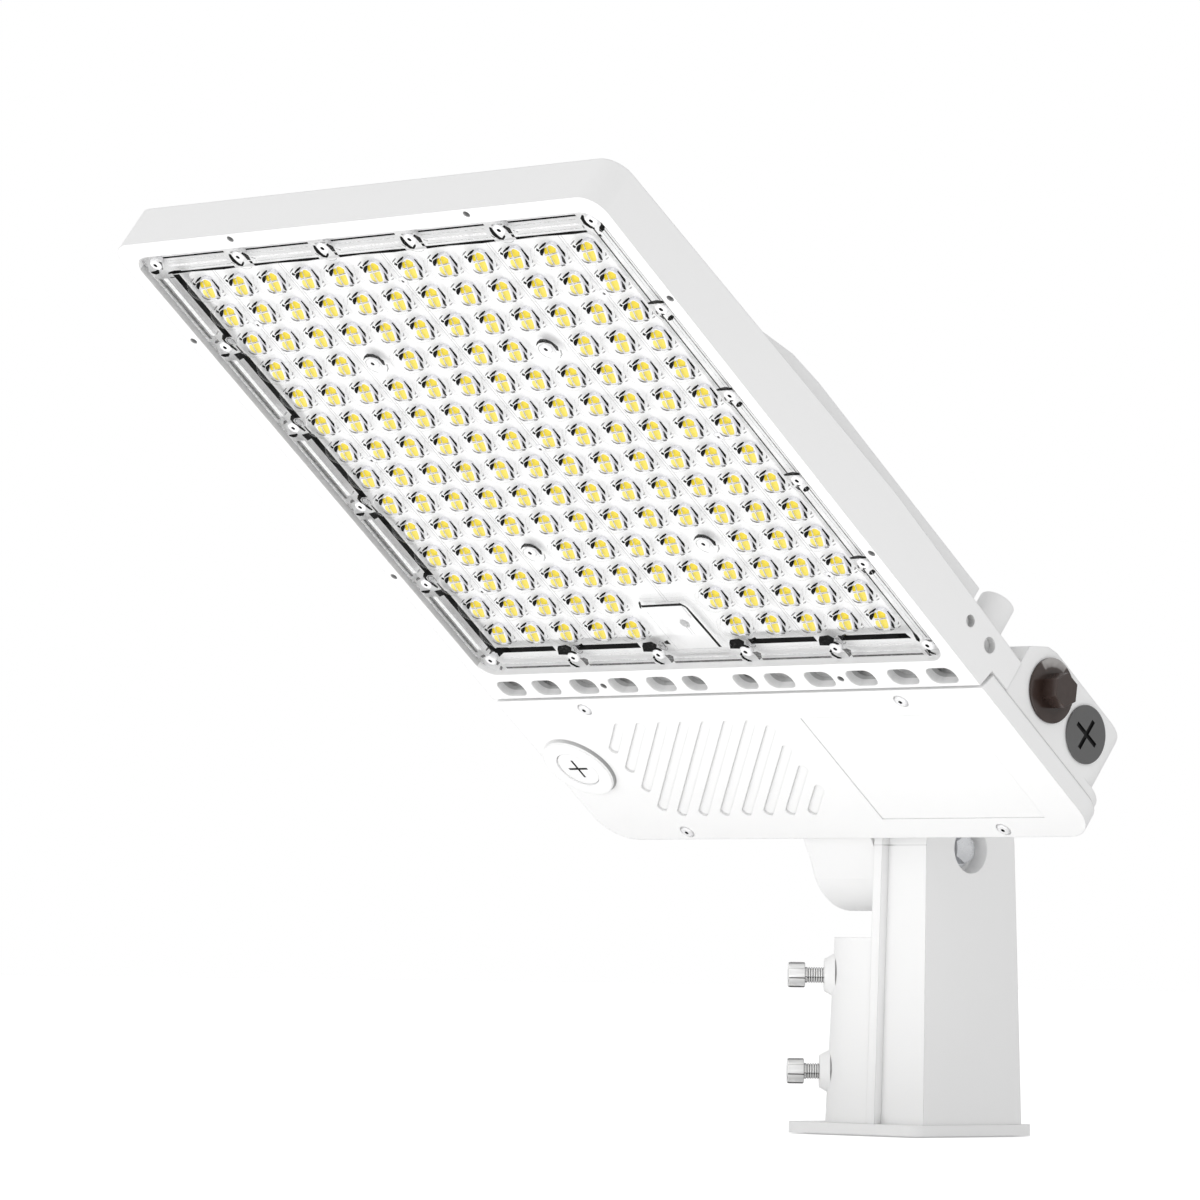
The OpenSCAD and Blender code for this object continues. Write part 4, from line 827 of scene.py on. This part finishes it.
# The darkest rows are the seal; grey rows are painted shade on the pocket's wall, pale rows painted
# reflections in the plate's bars.
LEFT_LINES = ((-142.7, 2, 2, 4.6, 0.12), (-156.0, 0, 2, 1.9, 0.42), (-158.6, 0, 4, 1.6, 0.78),
              (-152.3, 0, 0, 3.0, 0.9), (-149.2, 0, 0, 0.5, 0.8))
RIGHT_LINES = ((148.4, 6, 5, 0.9, 0.1), (152.2, 4, 3, 0.4, 0.75), (154.4, 4, 3, 0.6, 0.45),
               (156.4, 8, 8, 0.8, 0.35))
FRONT_LINES = ((-481.0, 0, 2, 1.1, 0.12), (-478.6, 0, 0, 0.5, 0.8), (-475.4, 0, 0, 1.4, 0.9),
               (-472.8, 0, 0, 0.4, 0.75))
REAR_LINES = ((-182.6, 0, 0, 0.5, 0.85), (-175.2, 2, 2, 1.3, 0.42), (-178.2, 4, 4, 0.5, 0.85))
REAR_SEAL = (-188.5, 1, 1, 3.7, 0.02)
WINDOW_HALF = 20
border = []
for low, high in gaps(y_stops, 9.5, 8.5):
    border += lines(LEFT_LINES + RIGHT_LINES, low, high, True)
for low, high in gaps(x_stops, 9.0, 9.0):
    front_seal = [(low - 3, -470.5), (low + 12, -470.7), (high - 8, -470.4), (high + 1, -470.5)]
    border += lines(FRONT_LINES, low, high, False)
    border += ribbon(front_seal, [1.7, 1.1, 1.9, 1.3], 0.03)
    border += lines(REAR_LINES, low, high, False)
    if low > WINDOW_HALF or high < -WINDOW_HALF:
        border += lines([REAR_SEAL], low, high, False)
border += ribbon([(-21.2, -188.5), (-20.5, -188.5)], 3.7, 0.02)
print("border lines:", len(border))

# %% [markdown]
# ## Marks round the screws
# Every screw sits in a moulded well, which bends the dark seal into hooks and blots. Among them
# are painted light: dark crescents of shadow in the well and pale arcs of reflection. They look
# alike along one side and differ from side to side, so each side has one set of marks and each
# corner has its own.

# %% Window, sides, corners and middle
window = drawn(
    ([(-16.5, -215.6), (-14.6, -219), (-13.6, -220.5)], [1, 1.4, 0.8], 0.15),
    ([(-15, -217), (-4, -217.1), (6, -217.2), (12.6, -217.2), (14.6, -215.2)], [1.7, 1.6, 1.8, 1.9, 1.5],
      0.02), ([(14.6, -215.2), (14.9, -206), (15.4, -196), (15.8, -185.2)], [1.4, 2.1, 1.9, 2], 0.04),
    ([(-14.2, -213), (-14.4, -200), (-14, -184.6)], 0.5, 0.82),
    ([(-12.4, -222.6), (20.4, -222.6), (23.4, -219), (23.8, -186)], 0.4, 0.88),
    ([(-11, -220.4), (17, -220.4), (19, -217), (19.4, -188)], 0.35, 0.85),
    ([(-14, -184.4), (2, -184.6), (16, -184.4)], 0.4, 0.8))
# Among these marks are painted light: shadow in the wells and pale arcs of reflection.
side_marks = {
    "front": drawn(
        ([(-4.4, -2.2), (-5, 0), (-5.2, 2.6), (-4, 5.2), (-2, 6.2)], [1.4, 2.3, 3, 2.4, 1], 0.08),
        ([(-2.6, 6.2), (-1, 5), (0.6, 3.9)], [0.8, 1.2, 0.7], 0.15),
        ([(4.4, -2.2), (5.8, 0), (5.4, 3)], [1.8, 3.2, 2.2], 0.12), ([(4.6, 4.4), (6.4, 4.6)], 1.9, 0.05),
        ([(8, 1.2), (10.5, 2.4)], [0.4, 1], 0.6), ([(-3, -3.3), (4.6, -3.3)], 1, 0.62),
        ([(-8, 3), (-6.4, 4.6)], [0.5, 1.2], 0.6), (arc((0, 1.4), 7.2, 60, 150), 0.4, 0.75)),
    "rear": drawn(
        ([(-8.7, -2.5), (-6.6, -6.4), (-4.2, -9), (2.2, -9.8), (4.4, -7.4), (2.6, -5.2), (4.8, -3.9),
          (4.6, -2.7), (-3, -2.2)], 0.14),
        ([(-3.4, 0.6), (-4.9, 2.4), (-4.9, 4.6), (-3.2, 6.6), (-1.2, 7.2)], [0.6, 1.6, 2, 2, 0.6], 0.08),
        ([(3.8, 0.7), (7.2, 0.3), (9, 1.6), (7.2, 5), (4.4, 6.6), (4.6, 3.2)], 0.42),
        (arc((7.6, -5.6), 2.6, 20, 330), 0.7, 0.6),
        ([(4.8, -8.4), (8, -9.2), (11.4, -7.8)], [0.5, 0.9, 0.5], 0.62),
        ([(10.8, -8.4), (14, -8.8)], [1.6, 3.2], 0.05), ([(-5, 8.6), (1, 9.2)], 1, 0.72)),
    "left": drawn(
        ([(8.4, -12), (8.6, -8.6), (5.6, -7.4), (3.2, -5.4), (2.9, -2.4), (5, 0.2), (6.2, 3)],
          [4.4, 3, 2.4, 1.8, 1.6, 2.4, 1.6], 0.15),
        ([(1.6, 5.3), (8.4, 4.2), (10.3, 6), (10.4, 14), (6.2, 14), (6.4, 8.4), (2.1, 9.8)], 0.14),
        ([(8.4, -0.4), (8.7, 4.6)], [1, 1.6], 0.1), (arc((7.2, -3.4), 2.5, 100, 400), 0.6, 0.5),
        ([(-7.9, 5.4), (-6, 5.7), (-3.6, 5.6), (-1, 4.6)], [0.8, 2.2, 2.2, 0.7], 0.06),
        ([(-12, -4), (-7, -4.4), (-6.2, -1), (-7.4, 3.6), (-9.6, 5.4), (-12, 5)], 0.68),
        ([(-4.6, -3.2), (-2.6, -4.4), (-0.8, -4.9)], [0.8, 1.6, 1.6], 0.45),
        ([(1, -9), (4.6, -11.4)], [0.5, 1], 0.6), ([(-10.2, 7), (-10, 12)], 0.9, 0.7)),
    "right": drawn(
        ([(-5.6, -4), (-2.4, -4.5), (1.2, -4.7), (4.8, -4.2)], [1, 1.8, 2.4, 1.6], 0.16),
        ([(3.8, -3.4), (5.2, -1.4), (5.2, 6)], [1.4, 1.2, 0.9], 0.66),
        ([(-2.2, 0.8), (-1.3, 3.9)], [1.2, 1.7], 0.1), ([(-4.2, 0.9), (-4.7, 3.2)], [0.7, 1.1], 0.35),
        ([(-4, 4.2), (-3, 6.6)], [1, 1.4], 0.25),
        ([(-1.2, 7.6), (1.2, 6.4), (3.8, 4.9)], [1.2, 2.4, 1.6], 0.08),
        (arc((-0.6, 3), 5.8, 100, 190), 0.4, 0.7))}
corner_marks = {
    (-1, -1): drawn(
        ([(-7.6, 4.6), (-5.4, 5.2), (-3, 4.8), (-1, 3.4)], [1, 2.4, 2.4, 0.8], 0.08),
        ([(1.6, 3.4), (2.6, 0.8), (4.8, -1.6)], [1, 2.4, 1.4], 0.3),
        ([(3, 6.9), (4.4, 5.6), (9.4, 4.8), (14, 5), (14, 6.8), (8, 6.6)], 0.05),
        ([(-12, 6), (-11.6, -1.6), (-9, -3.6), (-5.8, -3.4), (-6.4, 0.6), (-8.4, 3.6), (-10, 6)], 0.66),
        ([(6.2, 9.6), (9.2, 9.4), (10.4, 12), (10.4, 14.5), (6.2, 14.5)], 0.14),
        ([(2.4, 9.3), (6.6, 9.2)], 0.6, 0.4)),
    (1, -1): drawn(
        ([(-2.6, -3.8), (-4.6, -1.6), (-4.9, 1.4), (-3.6, 4), (-1.8, 5.2)], [1, 2.2, 2.6, 2, 1], 0.03),
        ([(0.2, 7.4), (2.4, 5.6), (4.8, 3.6), (5.6, 0.8)], [1.2, 2.6, 2.2, 1], 0.06),
        ([(-7.6, 2.6), (-8, 4.4)], 1, 0.55), ([(-9.6, 6.3), (-7.6, 6.2)], 1.2, 0.2),
        ([(-2.6, 9.6), (-1, 9.8)], 1.6, 0.02),
        ([(3.4, -3.6), (5.6, -1.8), (6.6, 1), (6.9, 7)], [1, 1.2, 1, 0.7], 0.66)),
    (-1, 1): drawn(
        ([(2.6, -7.6), (6.6, -10)], [0.5, 1.2], 0.35), ([(3, -4.8), (8, -8)], [0.5, 1.4], 0.35),
        ([(8.2, -2.4), (9.6, -7.6), (12, -9.6), (20, -9.4), (20, -5.6), (14, -5.4)], 0.05),
        ([(-4.6, -2.8), (-1, -4)], 1.6, 0.45), ([(1.6, 3.4), (4.8, 1)], [1.4, 2.4], 0.45),
        ([(1.4, 7.4), (4.4, 4.8)], [1.2, 1.4], 0.5),
        ([(-11.6, -5), (-6.4, -4), (-6.6, 4.4), (-3.6, 7.6), (0, 8), (0, 10.8), (-7, 10.8), (-11, 7)], 0.68),
        ([(6.2, -14), (10.4, -14), (10.4, -10.2), (8, -9.4), (6.2, -11)], 0.14),
        ([(-6.4, 8.6), (-4.2, 7.8)], 1, 0.4)),
    (1, 1): drawn(
        ([(0.2, 0.8), (-1.8, 2.6), (-2, 5), (0.6, 6.8)], [0.8, 2.2, 2.4, 0.8], 0.02),
        ([(-4, 3.4), (-3.4, 7.6)], [1.2, 2], 0.45),
        ([(-4.6, -3.8), (-2.6, -11.6), (-1.6, -7.4), (-1.8, -4.6), (-3.6, -2.4)], 0.05),
        ([(-14, -7.4), (-8.4, -7.2), (-7.2, -5.4)], [3.6, 3.2, 0.8], 0.02),
        ([(0, -3.2), (4.8, -3.2)], 1.4, 0.4),
        ([(6.4, -3), (6.4, 5), (3, 8.6), (-4, 9.6)], [1, 1.2, 1.4, 1], 0.7))}
centre_marks = drawn(
    ([(-4.8, -2.6), (-2, -4.6), (1.4, -5.6), (4.4, -5), (6.4, -3.4), (7.2, -1), (6.4, 1.8)],
      [0.2, 1, 2.4, 2.8, 2.2, 2.6, 1.4], 0.22),
    ([(8.6, 1.4), (7.2, 4.2), (4.4, 6.6)], [0.8, 0.9, 0.3], 0.68),
    (arc((-0.7, 1.8), 4.7, 100, 300), 0.45, 0.7), (arc((-0.7, 1.8), 5.2, -30, 20), 0.4, 0.8),
    ([(-1.4, 2.9), (-0.4, 1.9)], 0.8, 0.55))
for side, marks in side_marks.items():
    for x, y in edge_sides[side]:
        border += moved(marks, x, y)
for (sx, sy), marks in corner_marks.items():
    border += moved(marks, sx * EDGE_X, PANEL_MIDDLE + sy * EDGE_Y)
for x, y, z in centre_places:
    border += moved(centre_marks, x, y)
border_mesh = flat_mesh("border_marks", border + window, PLATE_TOP - 0.12, (-0.35, 0.25))
border_mesh.materials.append(streak)
keep_piece("border_marks", border_mesh, "head", head_to_model, ("lens_gasket",))
print("border marks:", len(border_mesh.polygons))

# %% [markdown]
# ## Heads with a socket
# Every screw, plug and bolt has the same parts: a stem and a head turned from a profile, and a
# pit in its top for the tool, six-sided or a cross. The pit's corners carry a low tone, painted
# shade, so it reads as a dark hole at any size.

# %% Driven heads
def hexagon(radius, turn=0.0):
    turns = [math.radians(60 * i + turn) for i in range(6)]
    return [(radius * math.cos(angle), radius * math.sin(angle)) for angle in turns]


def cross(length, width):
    far, near_side = length / 2, width / 2
    outline = []
    for quarter in range(4):
        along, aside = math.cos(quarter * math.pi / 2), math.sin(quarter * math.pi / 2)
        for x, y in ((far, -near_side), (far, near_side), (near_side, near_side)):
            outline.append((x * along - y * aside, x * aside + y * along))
    return outline


def driven_head(name, profile, key, depth, sides=16):
    """Turned round z from points of radius, height, tone and knurl; the last two may be left out."""
    shape = bmesh.new()
    points = [point + (1.0, 0.0)[len(point) - 2:] for point in profile]
    loops = stack(shape, [circle(r, z, sides, knurl) for r, z, tone, knurl in points], end=False)
    top = points[-1][1]
    lip = [shape.verts.new((x, y, top)) for x, y in key]
    edges = [shape.edges.new(pair) for pair in zip(lip, lip[1:] + lip[:1])]
    edges += [shape.edges.get(pair) for pair in zip(loops[-1], loops[-1][1:] + loops[-1][:1])]
    bmesh.ops.triangle_fill(shape, use_beauty=True, edges=edges)
    bmesh.ops.recalc_face_normals(shape, faces=shape.faces[:])
    tones = [tone for r, z, tone, knurl in points for i in range(sides)] + [1.0] * len(key)
    before = len(shape.faces)
    floor_of_pit = [(x * 0.94, y * 0.94, top + depth) for x, y in key]
    stack(shape, [[(x, y, top) for x, y in key], floor_of_pit], start=False)
    shape.faces.ensure_lookup_table()
    pit = shape.faces[before:]
    bmesh.ops.recalc_face_normals(shape, faces=pit)
    bmesh.ops.reverse_faces(shape, faces=pit)
    # Painted shade: the pit's mouth gets tone 0.3 and its floor tone 0.
    return made_mesh(name, shape, tones + [0.3] * len(key) + [0.0] * len(key), outwards=False)


def screw(name, head_r, top, seat, thread_r, end, key_r, depth, sides=16):
    """A low pan head with a six-sided pit, from its thread's end up to its top, as heights along z."""
    high = seat - top
    profile = [(thread_r * 0.8, end), (thread_r, end - 0.5), (thread_r, seat), (head_r, seat),
               (head_r, seat - high * 0.45), (head_r * 0.93, seat - high * 0.8), (head_r * 0.8, top)]
    return driven_head(name, profile, hexagon(key_r), depth, sides)


screw_plate = toned("screw_plate", ((0.0, 0.004), (0.35, 0.05), (0.9, 0.86), (1.0, (0.93, 0.93, 0.94))),
                    0.24, 1500.0, 0.06, 0.5, 0.35)
board_places = [grid(c, r) for c, r in ((0.5, 1.5), (5.5, 0.5), (10.5, 1.5), (0.5, 6.5), (5.5, 6.5),
                                        (10.5, 6.5), (0.5, 11.5), (10.5, 11.5))]
COVER_SCREW_X, COVER_SCREW_ROWS = 109.3, (-144.4, -47.0)
cover_places = [(side * COVER_SCREW_X, y, 0) for side in (-1, 1) for y in COVER_SCREW_ROWS]
scatter("panel_screws", screw("panel_screw", 3.6, -24.4, -22.4, 1.75, -16.4, 1.25, 1.3),
        edge_places + centre_places, screw_plate, replaces=("lens_edge_screws", "lens_centre_screws"))
scatter("board_screws_made", screw("board_screw", 2.8, -21.4, -20.6, 1.25, -16.0, 0.9, 0.6, 12),
        board_places, screw_plate, replaces=("board_screws",))
scatter("cover_screws_made", screw("cover_screw", 3.5, -27.5, -25.6, 2.0, -3.9, 1.2, 1.4),
        cover_places, screw_plate, replaces=("cover_screws",))
print("screws placed:", len(edge_places) + len(centre_places), "on the panel")

# %% [markdown]
# ## Plugs and photocell
# The plug in the cover's boss is white, the one in the side is dark grey, and each has a cross
# for a coin. The photocell is a smoky brown moulding, paler towards its rim, with a painted
# highlight along one side of the rim and a six-sided nose. All three are turned round their own
# axis and then laid in place.

# %% Plugs and photocell
AT_ORIGIN = [(0, 0, 0)]
white_plug = toned("white_plug", ((0.0, 0.03), (0.3, 0.1), (1.0, 0.92)), 0.4, 700.0, 0.02, 0.4)
grey_plug = toned("grey_plug", ((0.0, 0.001), (0.3, 0.004), (0.95, 0.115), (1.0, 0.13)),
                  0.5, 700.0, 0.05, 0.3)
sensor_profile = [(9.6, -17.5), (10, -18), (10, -27.5), (12.05, -27.5), (12.05, -28.8), (11.8, -29.1)]
side_profile = [(10.1, 10), (10.5, 9.5), (10.5, -0.2), (14.3, -0.2), (14.5, -0.4), (14.5, -1.0),
                (14.3, -1.2)]
SIDE_X, SIDE_Z, SIDE_PLUG_Y, PHOTOCELL_Y = 167.0, 5.2, -80.4, -113.3
QUARTER_BACK = Matrix.Rotation(math.radians(-90), 4, "Y")


def on_side(y):
    return head_to_model @ Matrix.Translation((SIDE_X, y, SIDE_Z)) @ QUARTER_BACK


scatter("sensor_plug_made", driven_head("sensor_plug", sensor_profile, cross(13.4, 1.5), 0.9, 48),
        [(BOSS_X, BOSS_Y, 0)], white_plug, replaces=("sensor_port_plug",))
scatter("side_plug_made", driven_head("side_plug", side_profile, cross(17.2, 2.4), 0.9, 48),
        AT_ORIGIN, grey_plug, to_model=on_side(SIDE_PLUG_Y), replaces=("side_port_plug",))

smoky = Finish("smoky_brown", Specular_IOR_Level=0.5, IOR=1.5)
smoky_cloud = smoky.noise(160.0)
smoky.color(smoky.tones(smoky.mark_tone() + (smoky_cloud - 0.5) * 0.25,
                        (0.0, (0.01, 0.006, 0.004)), (0.45, (0.032, 0.019, 0.015)),
                        (0.75, (0.06, 0.042, 0.037)), (1.0, (0.42, 0.4, 0.39))))
smoky.rough(0.14 + smoky_cloud * 0.08)
dish = [circle(r, z, 48) for r, z in ((11, 12), (11, -0.2), (15.7, -0.2), (16, -0.4),
                                      (16, -1.2), (15.6, -1.6), (12.0, -1.9), (9.2, -2.0))]
nose = [[(x, y, z) for x, y in hexagon(r, 90)] for r, z in ((8.7, -1.9), (8.7, -10.2), (8.2, -10.8))]
cell = bmesh.new()
tones = []
for rings, values in ((dish, (0.3, 0.3, 0.1, 0.2, 0.5, 0.62, 0.5, 0.4)), (nose, (0.5, 0.72, 0.6))):
    stack(cell, rings)
    for ring, value in zip(rings, values):
        for x, y, z in ring:
            # Painted highlight: the pale rim rings are lighter still on one side.
            painted_highlight = rings is dish and value >= 0.5 and -70 < math.degrees(math.atan2(y, x)) < 5
            tones.append(value + 0.4 * painted_highlight)
scatter("photocell_made", made_mesh("photocell", cell, tones, 30), AT_ORIGIN, smoky.material,
        to_model=on_side(PHOTOCELL_Y), replaces=("photocell_window",))
print("plugs and photocell placed")

# %% [markdown]
# ## Bolts of the arm
# The tilt bolt has a six-sided head with rounded corners, on a washer. The four set bolts have
# knurled heads with a socket and a threaded stem. Bright plating mirrors the dark cards of a
# studio as bands; here they are painted reflections, which a ramp over the surface's direction
# draws, so they stay level as on a real bright bolt. Low tones paint shade into the socket, the
# thread's roots and under the head.

# %% Set bolts
chrome = Finish("bright_plating", Metallic=0.35)
facing = chrome.waves(chrome.node("ShaderNodeNewGeometry").outputs["Normal"])[2]
scuff = chrome.noise(900.0, 3.0)
painted_reflections = chrome.tones(facing * 0.5 + 0.5 + (scuff - 0.5) * 0.015,
                     (0.0, 0.03), (0.05, 0.04), (0.08, 0.9), (0.2, 0.72), (0.34, 0.92), (0.365, 0.1),
                     (0.39, 0.12), (0.415, 0.97), (0.72, 1.0), (0.745, 0.6), (0.77, 0.97), (0.9, 0.85),
                     (0.94, 0.3), (1.0, 0.34))
# Low tones mix in near black: painted shade.
plating = chrome.node("ShaderNodeMix", {"data_type": "RGBA"},
                      Factor=chrome.mark_tone(), _6=(0.01, 0.01, 0.01, 1), _7=painted_reflections)
chrome.color(plating.outputs[2])
chrome.rough(0.12 + scuff * 0.12)

BOLT_END, BOLT_REACH, THREAD_PITCH, THREADS = -34.4, -54.4, 1.25, 14
STEM_R, ROOT_R, CAP_R = 4.0, 3.5, 6.5
SET_BOLTS = (("set_bolt_upper_front", 225, 80.5), ("set_bolt_lower_front", 225, 31.4),
             ("set_bolt_upper_rear", 135, 80.5), ("set_bolt_lower_rear", 135, 31.4))
# The thread's roots and the underside of the head carry low tones: painted shade.
bolt_profile = [(3.2, BOLT_END), (STEM_R, BOLT_END - 1.0)]
for turn in range(THREADS):
    at = BOLT_END - 1.4 - turn * THREAD_PITCH
    bolt_profile += [(STEM_R, at), (STEM_R, at - 0.3), (ROOT_R, at - 0.75, 0.25), (STEM_R, at - 1.2)]
bolt_profile += [(STEM_R, BOLT_REACH, 0.4), (CAP_R - 0.4, BOLT_REACH, 0.4),
                 (CAP_R, BOLT_REACH - 0.4, 0.9, 0.2), (CAP_R, BOLT_REACH - 7.4, 1.0, 0.2),
                 (CAP_R - 0.05, BOLT_REACH - 7.7), (CAP_R - 0.1, BOLT_REACH - 8.3),
                 (CAP_R - 0.5, BOLT_REACH - 8.6)]
for name, turn, height in SET_BOLTS:
    lay = (arm_to_model @ Matrix.Translation((0, 0, height))
           @ Matrix.Rotation(math.radians(turn), 4, "Z") @ QUARTER_BACK)
    scatter(name + "_made", driven_head(name, bolt_profile, hexagon(3.4), 4.3, 48), AT_ORIGIN,
            chrome.material, name, lay, (name,))
print("set bolts placed:", len(SET_BOLTS))

# %% [markdown]
# ## Bolt, nut and washers of the joint
# A turned head is a hexagon whose corners are cut back by a cone. Here its outline has 24
# points, and the further out a point lies, the more it drops. A washer is a stack of rings
# that closes on itself.

# %% Tilt bolt
ACROSS_FLATS, BOLT_HEAD = math.cos(math.pi / 6), 7.5


def six_sides(height, slope, count=24):
    """A six-sided outline whose corners drop by slope, as on a turned bolt head."""
    points = []
    for i in range(count):
        turn = 2 * math.pi * i / count
        out = BOLT_HEAD * ACROSS_FLATS / math.cos((turn % (math.pi / 3)) - math.pi / 6)
        drop = slope * (out - BOLT_HEAD * ACROSS_FLATS)
        points.append((out * math.cos(turn), out * math.sin(turn), height + drop))
    return points


def arm_hardware(name, stacks, holed=False):
    shape = bmesh.new()
    for rings in stacks:
        loops = stack(shape, rings, not holed, not holed)
        if holed:
            for i in range(len(loops[0])):
                j = (i + 1) % len(loops[0])
                shape.faces.new((loops[-1][i], loops[0][i], loops[0][j], loops[-1][j]))
    lay = arm_to_model @ Matrix.Translation((0, 0, HINGE_HEIGHT)) @ QUARTER_BACK
    scatter(name + "_made", made_mesh(name, shape, angle=28), AT_ORIGIN, zinc, "arm", lay, (name,))


def washer(low, high, inner=4.06, outer=9.7):
    """The rings of a washer with its rims rounded off."""
    outline = ((inner, low), (outer - 0.3, low), (outer, low - 0.25), (outer, high + 0.25),
               (outer - 0.3, high), (inner, high))
    return [circle(radius, height, 32) for radius, height in outline]


arm_hardware("hinge_bolt", (
    [circle(3.4, 41.5, 24), circle(4, 40.9, 24), circle(4, -31.6, 24)],
    [six_sides(-31.6, 0), six_sides(-36.8, 0.55), circle(6.3, -36.9, 24)]))
arm_hardware("hinge_washer", (washer(-30.0, -31.6),), True)
arm_hardware("nut_washer", (washer(35.6, 34.0),), True)
arm_hardware("hinge_nut", ([circle(4.06, 40.8, 24), circle(6.3, 41.0, 24), six_sides(40.9, -0.55),
                            six_sides(35.6, 0), circle(4.06, 35.6, 24)],), True)
print("tilt bolt, nut and washers placed")

# %% [markdown]
# ## Finishes for the other solids
# Pieces whose solid is already right keep it and only take a finish.

# %% Finishes by solid
solids_by_finish = (
    (board_white.material, ("led_board",)),
    (white_moulding, ("board_connector",)),
    (pale_seal, ("cover_gasket",)),
    (seal_black, ("sensor_port_seal", "photocell_seal", "side_port_seal", "joint_seal")),
    (black_moulding, ("sensor_port_nut", "photocell_nut", "side_port_nut", "surge_protector",
                      "breather_plug")),
    (extruded, ("led_driver",)),
    (zinc, ("driver_screws", "surge_screws")),
    (cream_moulding, ("terminal_block",)),
    (brass, ("terminal_screws",)),
    (green_zinc, ("ground_screw",)),
    (orange_sensor, ("photocell_sensor",)))
for material, nodes in solids_by_finish:
    for node in nodes:
        solid = frame["nodes"][node]
        if not solid.material_slots:
            solid.data.materials.append(material)
        for place in solid.material_slots:
            place.material = material
print("finished", sum(len(nodes) for material, nodes in solids_by_finish), "solids")
